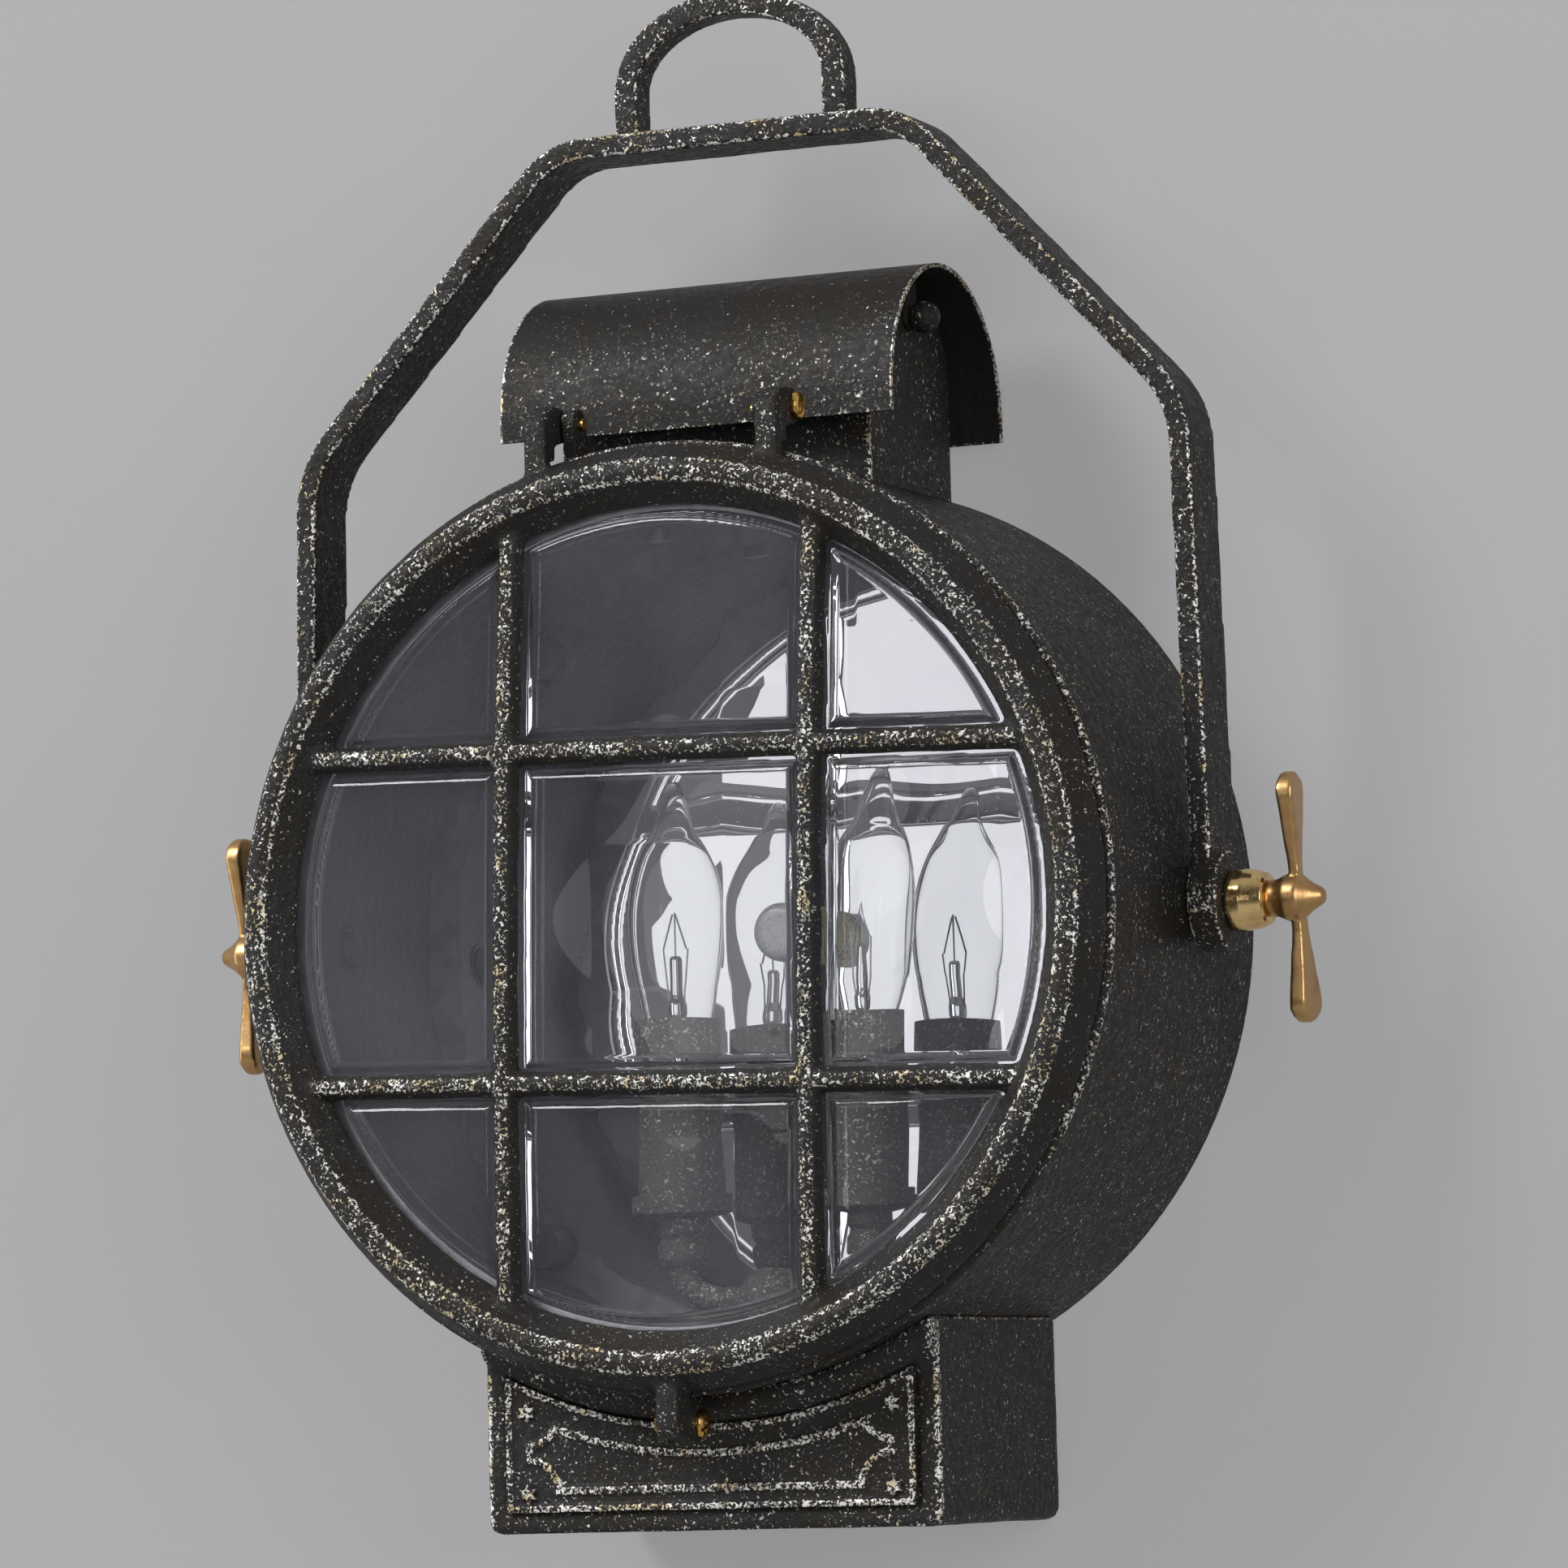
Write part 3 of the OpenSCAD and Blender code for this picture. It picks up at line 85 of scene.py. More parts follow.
# Colours, linear
CHARCOAL = (0.0190, 0.0182, 0.0185, 1)
BROWN_BLACK = (0.0190, 0.0160, 0.0130, 1)
INNER_COAT = (0.040, 0.041, 0.046, 1)
LAMP_COAT = (0.070, 0.063, 0.054, 1)
FLECK_DIM = (0.120, 0.112, 0.098, 1)
FLECK_SILVER = (0.84, 0.82, 0.77, 1)
FLECK_GOLD = (0.66, 0.55, 0.34, 1)
BRASS_SATIN = (0.55, 0.345, 0.15, 1)
BRASS_SATIN_DARK = (0.42, 0.24, 0.10, 1)
BRASS_BRIGHT = (0.80, 0.50, 0.16, 1)
BRASS_BRIGHT_DARK = (0.55, 0.30, 0.07, 1)
ZINC = (0.55, 0.55, 0.57, 1)
ZINC_DARK = (0.36, 0.36, 0.38, 1)
WALL_GREY = (0.19, 0.19, 0.192, 1)
WALL_GLOW = (0.252, 0.250, 0.256, 1)
FLOOR_GREY = (0.56, 0.56, 0.56, 1)


class Shader:
    """A material's node tree, written as nested calls. Places are in metres, in the lantern's frame."""

    def __init__(self, name):
        self.material = bpy.data.materials.new(name)
        self.material.use_nodes = True
        self.tree = self.material.node_tree
        self.tree.nodes.clear()
        coords = self.node("ShaderNodeTexCoord")
        self.place = coords.outputs["Object"]
        self.x, self.y, self.z = self.node("ShaderNodeSeparateXYZ", {"Vector": self.place}).outputs
        self.normal = self.node("ShaderNodeSeparateXYZ", {"Vector": coords.outputs["Normal"]}).outputs
        self.depth = self.math("MULTIPLY", self.y, -1.0)

    def node(self, kind, inputs=None, **settings):
        made = self.tree.nodes.new(kind)
        for name, value in settings.items():
            setattr(made, name, value)
        for name, value in (inputs or {}).items():
            self.put(made.inputs[name], value)
        return made

    def put(self, socket, value):
        if isinstance(value, bpy.types.NodeSocket):
            self.tree.links.new(value, socket)
        else:
            socket.default_value = value

    def math(self, operation, a, b=0.0):
        return self.node("ShaderNodeMath", {0: a, 1: b}, operation=operation).outputs[0]

    def ramp(self, value, low, high, start=0.0, end=1.0):
        inputs = {"Value": value, "From Min": low, "From Max": high, "To Min": start, "To Max": end}
        return self.node("ShaderNodeMapRange", inputs, interpolation_type="SMOOTHSTEP").outputs["Result"]

    def mix(self, factor, a, b):
        return self.node("ShaderNodeMix", {0: factor, 6: a, 7: b}, data_type="RGBA").outputs[2]

    def round_dots(self, scale, size):
        """Scattered round dots of uneven sizes, 1 inside."""
        cells = self.node("ShaderNodeTexVoronoi", {"Vector": self.place, "Scale": scale})
        luck = self.node("ShaderNodeSeparateColor", {"Color": cells.outputs["Color"]}).outputs[0]
        reach = self.math("MULTIPLY", luck, size)
        return self.ramp(self.math("SUBTRACT", reach, cells.outputs["Distance"]), 0.0, 0.05)

    def from_axis(self):
        """Distance from the housing's round axis."""
        return self.math("SQRT", self.math("ADD", self.math("MULTIPLY", self.x, self.x),
                                           self.math("MULTIPLY", self.z, self.z)))

    def convex(self, low, high):
        """1 on outer edges and corners of a finely divided mesh."""
        return self.ramp(self.node("ShaderNodeNewGeometry").outputs["Pointiness"], low, high)

    def noise(self, scale, detail=2.0, roughness=0.5, distortion=0.0):
        inputs = {"Vector": self.place, "Scale": scale, "Detail": detail, "Roughness": roughness,
                  "Distortion": distortion}
        return self.node("ShaderNodeTexNoise", inputs).outputs[0]

    def most(self, *values):
        best = values[0]
        for value in values[1:]:
            best = self.math("MAXIMUM", best, value)
        return best

    def away(self, value, middle):
        """Distance of a value from a middle."""
        return self.math("ABSOLUTE", self.math("SUBTRACT", value, middle))

    def bump(self, height, depth, soft_edge=0.0):
        inputs = {"Height": height, "Distance": depth, "Strength": 1.0}
        if soft_edge:
            inputs["Normal"] = self.node("ShaderNodeBevel", {"Radius": soft_edge}, samples=4).outputs[0]
        return self.node("ShaderNodeBump", inputs).outputs[0]

    def principled(self, inputs):
        shader = self.node("ShaderNodeBsdfPrincipled", inputs)
        self.finish(shader.outputs[0])
        return self.material

    def finish(self, surface):
        self.node("ShaderNodeOutputMaterial", {"Surface": surface})
        return self.material


# Materials

def cast_metal(name, wear_and_highlight, roughness=0.55, soft_edge=0.0, grain=1.0, dots=0.0, coat=None, coat_colour=INNER_COAT,
               shine=0.0):
    """Dark cast metal whose coat is rubbed to pale flecks, with more flecks where a painted highlight is laid on some
    castings. wear_and_highlight(sh) says where, from 0 to 1.
    """
    sh = Shader(name)
    wear_and_highlight_amount = wear_and_highlight(sh)
    lumps = sh.noise(300, 2, 0.55)
    patch = sh.math("MULTIPLY", sh.math("SUBTRACT", sh.noise(70, 2), 0.5), 0.16)
    limit = sh.math("SUBTRACT", sh.math("SUBTRACT", 0.662, sh.math("MULTIPLY", wear_and_highlight_amount, 0.13)), patch)
    fleck = sh.ramp(sh.math("SUBTRACT", sh.noise(880, 2, 0.6, 0.6), limit), 0.0, 0.022)
    if dots:
        fleck = sh.most(fleck, sh.math("MULTIPLY", sh.round_dots(450, dots), sh.ramp(wear_and_highlight_amount, 0.0, 0.4, 0, 0.55)))
    body = sh.mix(sh.ramp(sh.noise(30, 3), 0.38, 0.62), CHARCOAL, BROWN_BLACK)
    pale = sh.mix(sh.ramp(sh.noise(90, 2), 0.51, 0.66), FLECK_SILVER, FLECK_GOLD)
    glow = sh.math("ADD", sh.noise(420, 2), sh.math("ADD", sh.math("MULTIPLY", wear_and_highlight_amount, 0.10), shine))
    pale = sh.mix(sh.ramp(glow, 0.45, 0.62), FLECK_DIM, pale)
    if coat:
        plain = coat(sh)
        body = sh.mix(plain, body, coat_colour)
        fleck = sh.math("MULTIPLY", fleck, sh.math("SUBTRACT", 1.0, plain))
    height = sh.math("ADD", sh.math("MULTIPLY", lumps, 1.3), sh.math("MULTIPLY", fleck, 0.30))
    height = sh.math("ADD", height, sh.math("MULTIPLY", sh.noise(1100, 2), 0.35))
    return sh.principled({
        "Base Color": sh.mix(fleck, body, pale),
        "Metallic": sh.math("MULTIPLY", fleck, 0.55),
        "Roughness": sh.ramp(lumps, 0.3, 0.7, roughness + 0.08, roughness - 0.08),
        "Specular IOR Level": 0.22,
        "Normal": sh.bump(height, 0.50 * MM * grain, soft_edge),
    })


def brushed_metal(name, light, dark, roughness, mottle=60, grain=900, depth=0.03, metallic=1.0):
    """A plated or turned metal with faint tarnish and fine scratches."""
    sh = Shader(name)
    tarnish = sh.ramp(sh.noise(mottle, 4, 0.6), 0.40, 0.68)
    fine = sh.noise(grain, 3, 0.6)
    return sh.principled({
        "Base Color": sh.mix(tarnish, light, dark),
        "Metallic": metallic,
        "Roughness": sh.ramp(fine, 0.3, 0.7, roughness - 0.05, roughness + 0.08),
        "Normal": sh.bump(fine, depth * MM, 0.3 * MM),
    })


def clear_glass(name, tint, index=1.5, reflection_veil=0.0):
    """Clear glass that lets lamp light through to what is behind it, with a faint bluish-white film as a painted
    reflection of the pale room.
    """
    sh = Shader(name)
    inputs = {"Base Color": tint, "Roughness": 0.0, "IOR": index, "Transmission Weight": 1.0}
    glass = sh.node("ShaderNodeBsdfPrincipled", inputs).outputs[0]
    # Painted reflection: a patchy bluish-white diffuse film stands in for the glass's reflection of the pale room
    if reflection_veil:
        painted_reflection = sh.node("ShaderNodeBsdfDiffuse", {"Color": (0.78, 0.78, 0.88, 1)}).outputs[0]
        film = sh.ramp(sh.noise(11, 2, 0.5, 0.8), 0.30, 0.70, reflection_veil * 0.75, reflection_veil * 1.25)
        glass = sh.node("ShaderNodeMixShader", {0: film, 1: glass, 2: painted_reflection}).outputs[0]
    open_way = sh.node("ShaderNodeBsdfTransparent", {"Color": (0.92, 0.93, 0.93, 1)}).outputs[0]
    shadow = sh.node("ShaderNodeLightPath").outputs["Is Shadow Ray"]
    return sh.finish(sh.node("ShaderNodeMixShader", {0: shadow, 1: glass, 2: open_way}).outputs[0])


def matte(name, light, dark, roughness, scale=400, depth=0.08):
    sh = Shader(name)
    grain = sh.noise(scale, 3, 0.6)
    return sh.principled({
        "Base Color": sh.mix(sh.ramp(grain, 0.35, 0.65), light, dark),
        "Roughness": roughness,
        "Normal": sh.bump(grain, depth * MM),
    })


def silvering():
    sh = Shader("silvered_glass")
    haze = sh.ramp(sh.noise(14, 3), 0.45, 0.75)
    return sh.principled({
        "Base Color": sh.mix(haze, (0.88, 0.88, 0.90, 1), (0.82, 0.82, 0.85, 1)),
        "Metallic": 1.0,
        "Roughness": sh.ramp(haze, 0, 1, 0.0, 0.015),
    })


def seen_from_front(name, colour, texture_depth, glow=None):
    """A studio surface that is clear from behind, so that it hides nothing there. A glow softens shadows on it."""
    sh = Shader(name)
    grain = sh.noise(9, 4, 0.6)
    paint = sh.node("ShaderNodeBsdfDiffuse", {
        "Color": sh.mix(grain, colour, tuple(0.97 * c for c in colour[:3]) + (1,)),
        "Normal": sh.bump(grain, texture_depth * MM),
    }).outputs[0]
    if glow:
        rays = sh.node("ShaderNodeLightPath").outputs
        seen = sh.most(rays["Is Camera Ray"], rays["Is Glossy Ray"], rays["Is Transmission Ray"])
        strength = sh.math("MULTIPLY", seen, sh.ramp(grain, 0.2, 0.8, 0.985, 1.015))
        lit = sh.node("ShaderNodeEmission", {"Color": glow, "Strength": strength})
        paint = sh.node("ShaderNodeAddShader", {0: paint, 1: lit.outputs[0]}).outputs[0]
    clear = sh.node("ShaderNodeBsdfTransparent").outputs[0]
    behind = sh.node("ShaderNodeNewGeometry").outputs["Backfacing"]
    return sh.finish(sh.node("ShaderNodeMixShader", {0: behind, 1: paint, 2: clear}).outputs[0])


# Where each casting is rubbed bright, and where a painted highlight adds flecks

def turned_back(x, z, multiply, add, subtract):
    """Places across and up the grille, which sits turned in its ring."""
    cosine, sine = math.cos(GRILLE_TURN), math.sin(GRILLE_TURN)
    return (subtract(multiply(x, cosine), multiply(z, sine)), add(multiply(x, sine), multiply(z, cosine)))


def door_wear(sh):
    radius = sh.from_axis()
    off_crest = sh.away(radius, CREST_R)
    crest = sh.math("MULTIPLY", sh.ramp(off_crest, 5.6 * MM, 3.8 * MM, 0, 0.62),
                    sh.ramp(sh.depth, -CREST_Y - 3.4 * MM, -CREST_Y - 1.8 * MM))
    crest_lines = sh.math("MULTIPLY", sh.ramp(sh.away(off_crest, 3.3 * MM), 1.3 * MM, 0.4 * MM, 0, 1.1),
                          sh.ramp(sh.depth, -CREST_Y - 3.4 * MM, -CREST_Y - 1.8 * MM))
    across, along = turned_back(sh.x, sh.z, lambda a, b: sh.math("MULTIPLY", a, b),
                                lambda a, b: sh.math("ADD", a, b), lambda a, b: sh.math("SUBTRACT", a, b))
    fronts = [sh.ramp(sh.away(sh.away(v, 0.0), BAR_OFFSET), 3.4 * MM, 2.2 * MM) for v in (across, along)]
    bars = sh.math("MULTIPLY", sh.most(*fronts), sh.ramp(radius, CREST_R - 7 * MM, CREST_R - 10 * MM))
    bars = sh.math("MULTIPLY", bars, sh.ramp(sh.normal["Y"], -0.60, -0.90, 0, 0.86))
    ears = sh.math("MULTIPLY", sh.math("MULTIPLY", sh.ramp(radius, 157 * MM, 159 * MM),
                                       sh.ramp(sh.normal["Y"], -0.45, -0.80, 0, 0.30)),
                   sh.ramp(sh.z, -10 * MM, 10 * MM, 0.4, 1.0))
    edges = sh.math("MULTIPLY", sh.convex(0.525, 0.57), 0.55)
    return sh.most(crest, crest_lines, bars, ears, edges, 0.08)


def drum_wear(sh):
    near = sh.away(sh.y, BEAD_Y)
    ring = sh.math("ADD", sh.ramp(near, 2.4 * MM, 0.6 * MM, 0, 0.55), sh.ramp(near, 7.0 * MM, 1.0 * MM, 0, 0.50))
    ring = sh.math("MULTIPLY", sh.math("MULTIPLY", ring, sh.ramp(sh.from_axis(), DRUM_R - 1.5 * MM, DRUM_R - 0.5 * MM)),
                   sh.ramp(sh.z, -110 * MM, -60 * MM, 0.25, 1.0))
    return sh.most(ring, 0.20)


def drum_inside(sh):
    return sh.math("MULTIPLY", sh.ramp(sh.from_axis(), 156.2 * MM, 155.6 * MM),
                   sh.ramp(sh.depth, 133.6 * MM, 133.0 * MM))


def bail_wear_and_highlight(sh):
    edge = sh.math("MULTIPLY", sh.convex(0.51, 0.545), sh.ramp(sh.y, PIVOT_Y + 4 * MM, PIVOT_Y - 8 * MM, 0.6, 1.4))
    # Painted highlight: pale flecks only on the front-most band of the pivot eye, where the light catches it; the rest
    # of the eye is left dark
    eye_painted_highlight = sh.math("MULTIPLY", sh.ramp(sh.y, PIVOT_Y - 13 * MM, PIVOT_Y - 16 * MM),
                  sh.ramp(sh.away(sh.z, 0.0), 9 * MM, 3 * MM, 0, 1.0))
    front = sh.ramp(sh.normal["Y"], -0.55, -0.90, 0.12, 0.32)
    return sh.most(edge, eye_painted_highlight, front)


def loop_wear(sh):
    return sh.most(sh.math("MULTIPLY", sh.convex(0.51, 0.545), 1.2), sh.ramp(sh.y, PIVOT_Y, PIVOT_Y - 5 * MM, 0.15, 0.45))


def hood_wear(sh):
    out_y = sh.math("MULTIPLY", sh.normal["Y"], sh.math("SUBTRACT", sh.y, HOOD_MID_Y))
    out_z = sh.math("MULTIPLY", sh.normal["Z"], sh.math("SUBTRACT", sh.z, HOOD_LOW))
    inside = sh.ramp(sh.math("ADD", out_y, out_z), 4 * MM, -2 * MM)
    low = sh.math("SUBTRACT", sh.ramp(sh.z, HOOD_TOP - 2 * MM, HOOD_LOW + 14 * MM, -0.02, 0.33), inside)
    rim = sh.ramp(sh.away(sh.x, 0.0), HOOD_X - 1.4 * MM, HOOD_X - 0.4 * MM, -0.9, 1.5)
    lip = sh.ramp(sh.z, HOOD_LOW + 1.6 * MM, HOOD_LOW + 0.3 * MM, -0.9, 0.9)
    return sh.most(low, rim, lip)


def vent_wear(sh):
    corner = sh.math("MULTIPLY", sh.ramp(sh.away(sh.x, 0.0), VENT_X - 2.2 * MM, VENT_X - 0.6 * MM),
                     sh.ramp(sh.y, VENT_FRONT_Y + 2.2 * MM, VENT_FRONT_Y + 0.6 * MM))
    return sh.most(sh.math("MULTIPLY", corner, 1.3), 0.20)


def base_wear(sh):
    front = sh.ramp(sh.depth, -BASE_FRONT_Y - 1.2 * MM, -BASE_FRONT_Y - 0.4 * MM, 0.14, 0.30)
    edge = sh.math("MULTIPLY", sh.convex(0.51, 0.545), sh.ramp(sh.z, BASE_LOW + 4 * MM, BASE_LOW + 10 * MM, 0.6, 1.0))
    post = sh.math("MULTIPLY", sh.ramp(sh.math("SUBTRACT", BASE_X, sh.away(sh.x, 0.0)), 3.0 * MM, 1.2 * MM, 0, 1.25),
                   sh.ramp(sh.depth, -BASE_FRONT_Y - 3.0 * MM, -BASE_FRONT_Y - 1.6 * MM))
    return sh.most(edge, post, front)


def panel_wear(sh):
    return sh.ramp(sh.depth, -PANEL_FACE_Y + 0.40 * MM, -PANEL_FACE_Y + 0.72 * MM, 0.22, 1.20)


def lamp_coat(sh):
    return sh.ramp(sh.noise(260, 3), 0.30, 0.70, 0.42, 0.66)


def plain_wear(amount):
    return lambda sh: sh.math("ADD", amount, 0.0)


# Pieces

def finish_piece(piece, node, material):
    """Makes a new piece stand for a CAD node and ride with it."""
    piece.data.materials.clear()
    piece.data.materials.append(material)
    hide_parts(node)
    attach(piece, BODY_OF[node])
    return piece


def new_piece(name, mesh):
    piece = bpy.data.objects.new(name, mesh)
    bpy.context.scene.collection.objects.link(piece)
    return piece


def shade_smooth(mesh):
    mesh.polygons.foreach_set("use_smooth", [True] * len(mesh.polygons))
    mesh.update()


def foundry_copy(node, material, voxel, rounds=5, wobble=0.20, lumps=0.10, fuller=0.0):
    """A casting's copy with softened edges and the slight unevenness of a sand mould."""
    draft = new_piece("draft", NODES[node].data.copy())
    remesh = draft.modifiers.new("remesh", "REMESH")
    remesh.mode = "VOXEL"
    remesh.voxel_size = voxel * MM
    smooth = draft.modifiers.new("smooth", "SMOOTH")
    smooth.factor = 0.5
    smooth.iterations = rounds
    view = bpy.context.evaluated_depsgraph_get()
    mesh = bpy.data.meshes.new_from_object(draft.evaluated_get(view))
    bpy.data.objects.remove(draft)
    points = np.array([v.co[:] for v in mesh.vertices])
    normals = np.array([v.vector[:] for v in mesh.vertex_normals])
    push = [fuller + wobble * noise.noise(Vector(p) / (17 * MM)) + lumps * noise.noise(Vector(p) / (3.2 * MM))
            for p in points]
    points += normals * (np.array(push)[:, None] * MM)
    mesh.vertices.foreach_set("co", points.ravel())
    shade_smooth(mesh)
    return finish_piece(new_piece("cast_" + node, mesh), node, material)


def pane_height(x, z, rim):
    """Height of the raised panes of the pressed glass, 0 in the slots behind the grille, 1 on a pane."""
    half_slot, wall = 5.6 * MM, 0.7 * MM
    across, along = turned_back(x, z, np.multiply, np.add, np.subtract)
    edges = [(np.abs(np.abs(along) - BAR_OFFSET) - half_slot, 2.2 * MM, 0.27), (rim - np.hypot(x, z), 1.2 * MM, 0.27)]
    for bar in (-BAR_OFFSET, BAR_OFFSET):
        right = across > bar
        edges.append((np.abs(across - bar) - np.where(right, 5.0 * MM, half_slot),
                      np.where(right, 3.0 * MM, 2.2 * MM), np.where(right, 0.50, 0.27)))
    height = np.ones(x.shape)
    for inside, width, share in edges:
        level = (1 - share) * np.clip(inside / wall, 0, 1) + share * np.clip((inside - wall) / width, 0, 1)
        height = np.minimum(height, level)
    return height


def pressed_lens(material):
    """The domed glass with nine raised panes, as a front and a back height field joined at the edge."""
    step = 0.65 * MM
    count = int(LENS_R / step)
    line = np.arange(-count, count + 1) * step
    x, z = np.meshgrid(line, line, indexing="ij")
    radius = np.hypot(x, z)
    opening = 137.0 * MM
    dome = 4.0 * MM * np.clip(1 - (radius / opening) ** 2, 0, 1)
    rise = 2.9 * MM * pane_height(x, z, 134.5 * MM)
    wave = np.array([noise.noise(Vector((a, b, 0)) / (34 * MM)) for a, b in zip(x.ravel(), z.ravel())])
    wave = 0.10 * MM * wave.reshape(x.shape)
    crown = 0.30 * MM * np.cos(np.pi * np.clip(np.abs(x) / (49 * MM), 0, 3)) \
        * np.cos(np.pi * np.clip(np.abs(z) / (49 * MM), 0, 3))
    rest = LENS_BACK_Y - 4.0 * MM
    front = rest - dome - rise - (wave + np.abs(crown)) * (rise > 1.5 * MM)
    back = LENS_BACK_Y - dome + wave
    within = radius < LENS_R
    number = -np.ones(x.shape, int)
    number[within] = np.arange(within.sum())
    total = int(within.sum())
    points = np.concatenate([np.stack([x[within], y[within], z[within]], 1) for y in (front, back)])
    cells = within[:-1, :-1] & within[1:, :-1] & within[1:, 1:] & within[:-1, 1:]
    i, j = np.nonzero(cells)
    quads = np.stack([number[i, j], number[i + 1, j], number[i + 1, j + 1], number[i, j + 1]], 1)
    edges = {}
    for quad in quads.tolist():
        for a, b in zip(quad, quad[1:] + quad[:1]):
            if edges.pop((b, a), None) is None:
                edges[(a, b)] = True
    faces = quads.tolist() + (quads[:, ::-1] + total).tolist()
    faces += [(b, a, a + total, b + total) for a, b in edges]
    mesh = bpy.data.meshes.new("pressed_lens")
    mesh.from_pydata(points.tolist(), [], faces)
    work = bmesh.new()
    work.from_mesh(mesh)
    bmesh.ops.delete(work, geom=[v for v in work.verts if not v.link_faces], context="VERTS")
    bmesh.ops.recalc_face_normals(work, faces=work.faces)
    work.to_mesh(mesh)
    work.free()
    shade_smooth(mesh)
    return finish_piece(new_piece("pressed_lens", mesh), "lens", material)


BULB_PROFILE = [(5.0, -26.0), (5.1, -24.0), (6.6, -21.5), (9.4, -12.0), (11.6, 0.0), (13.8, 8.5), (15.5, 21.0),
                (15.9, 32.0), (15.75, 40.0), (15.0, 46.5), (13.5, 53.0), (11.4, 59.0), (8.6, 64.0), (6.6, 69.0),
                (5.2, 74.0), (3.8, 78.5), (2.9, 81.0), (2.1, 82.2), (1.1, 82.85), (0.15, 83.0)]
# The way each bulb leans over its whole height, and the further bend of its tip, in mm
BULB_LEANS = ((-1, Vector((0.0, 0.0, 0)), Vector((2.2, -3.6, 0))), (1, Vector((5.6, 2.6, 0)), Vector((3.4, 0.8, 0))))


def bent_tip_bulbs(material):
    """Two candle bulbs blown with a bent tip, each a thin shell with an outer and an inner wall."""
    low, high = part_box("bulb_glasses")
    sleeve_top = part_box("candle_sleeves")[1].z
    lamp_x = high.x - 15.9 * MM
    lamp_y = (low.y + high.y) / 2
    work = bmesh.new()
    around = 48
    for side, tilt, bend in BULB_LEANS:
        centre = Vector((side * lamp_x, lamp_y, sleeve_top))
        walls = []
        for inset in (0.0, 0.4):
            rings = []
            for r, h in BULB_PROFILE:
                if inset and h > 81.5:
                    continue
                lean = tilt * max(0.0, (h + 10) / 93) + bend * max(0.0, (h - 48) / 35) ** 2
                middle = centre + (lean + Vector((0, 0, h - 2 * inset * (h > 60)))) * MM
                radius = max(r - inset, 0.12) * MM
                rings.append([work.verts.new(middle + radius * Vector((math.cos(t), math.sin(t), 0)))
                              for t in (math.tau * k / around for k in range(around))])
            walls.append(rings)
        for rings in walls:
            for a, b in zip(rings, rings[1:]):
                for k in range(around):
                    m = (k + 1) % around
                    work.faces.new((a[k], a[m], b[m], b[k]))
            work.faces.new(rings[-1])
        for k in range(around):
            m = (k + 1) % around
            work.faces.new((walls[0][0][m], walls[0][0][k], walls[1][0][k], walls[1][0][m]))
    bmesh.ops.recalc_face_normals(work, faces=work.faces)
    mesh = bpy.data.meshes.new("bent_tip_bulbs")
    work.to_mesh(mesh)
    work.free()
    shade_smooth(mesh)
    piece = new_piece("bent_tip_bulbs", mesh)
    subdivide = piece.modifiers.new("subdivide", "SUBSURF")
    subdivide.levels = subdivide.render_levels = 1
    return finish_piece(piece, "bulb_glasses", material)


# Studio

def photo_camera():
    """The camera of the photograph. It is a pinhole with no shift, rolled a little."""
    turn, rise, roll = (math.radians(a) for a in (CAMERA_TURN, CAMERA_RISE, CAMERA_ROLL))
    back = Vector((math.sin(turn) * math.cos(rise), -math.cos(turn) * math.cos(rise), math.sin(rise)))
    right = Vector((math.cos(turn), math.sin(turn), 0))
    up = back.cross(right)
    place = CAMERA_TARGET + CAMERA_DISTANCE * back
    aim = CAMERA_TARGET + AIM_RIGHT * right + AIM_UP * up
    axis = (place - aim).normalized()
    level = Vector((0, 0, 1)).cross(axis).normalized()
    upright = axis.cross(level)
    image_right = level * math.cos(roll) - upright * math.sin(roll)
    image_up = level * math.sin(roll) + upright * math.cos(roll)
    data = bpy.data.cameras.new("photo_camera")
    data.sensor_width = 36
    data.lens = CAMERA_LENS
    data.clip_start, data.clip_end = 0.1, 60
    camera = bpy.data.objects.new("photo_camera", data)
    bpy.context.scene.collection.objects.link(camera)
    camera.matrix_world = Matrix.Translation(place) @ Matrix((image_right, image_up, axis)).transposed().to_4x4()
    bpy.context.scene.camera = camera
    return place


def softbox(name, place, target, size, power, height=None, mirrored=False):
    data = bpy.data.lights.new(name, "AREA")
    data.shape = "RECTANGLE" if height else "DISK" if mirrored else "SQUARE"
    data.size = size
    if height:
        data.size_y = height
    data.energy = power
    lamp = bpy.data.objects.new(name, data)
    bpy.context.scene.collection.objects.link(lamp)
    lamp.location = place
    lamp.rotation_mode = "QUATERNION"
    lamp.rotation_quaternion = (Vector(target) - Vector(place)).to_track_quat("-Z", "Y")
    lamp.visible_camera = False
    lamp.visible_transmission = mirrored
    return lamp


def mirror_softbox(camera_place):
    """The round softbox that the photograph shows in the mirror, on its right half."""
    seen_middle = Vector((70 * MM, MIRROR_Y, 2 * MM))
    seen_edge = Vector((-52 * MM, MIRROR_Y, 2 * MM))
    plane_y = -3.0
    ends = []
    for seen in (seen_middle, seen_edge):
        way = seen - camera_place
        way.y = -way.y
        ends.append(seen + way * ((plane_y - seen.y) / way.y))
    radius = abs(ends[0].x - ends[1].x)
    power = 0.98 * math.pi * math.pi * radius ** 2
    toward = ends[0] + Vector((0, 1, 0))
    return softbox("mirror_softbox", ends[0], toward, 2 * radius, power, mirrored=True)


def edge_softbox():
    """A tall light that is seen only through the left bevels of the panes, by way of the mirror."""
    lamp = softbox("edge_softbox", (-0.49, -3.0, 0.22), (-0.49, 0, 0.22), 0.30, 2.2, height=0.92)
    lamp.visible_diffuse = False
    lamp.visible_transmission = True
    return lamp


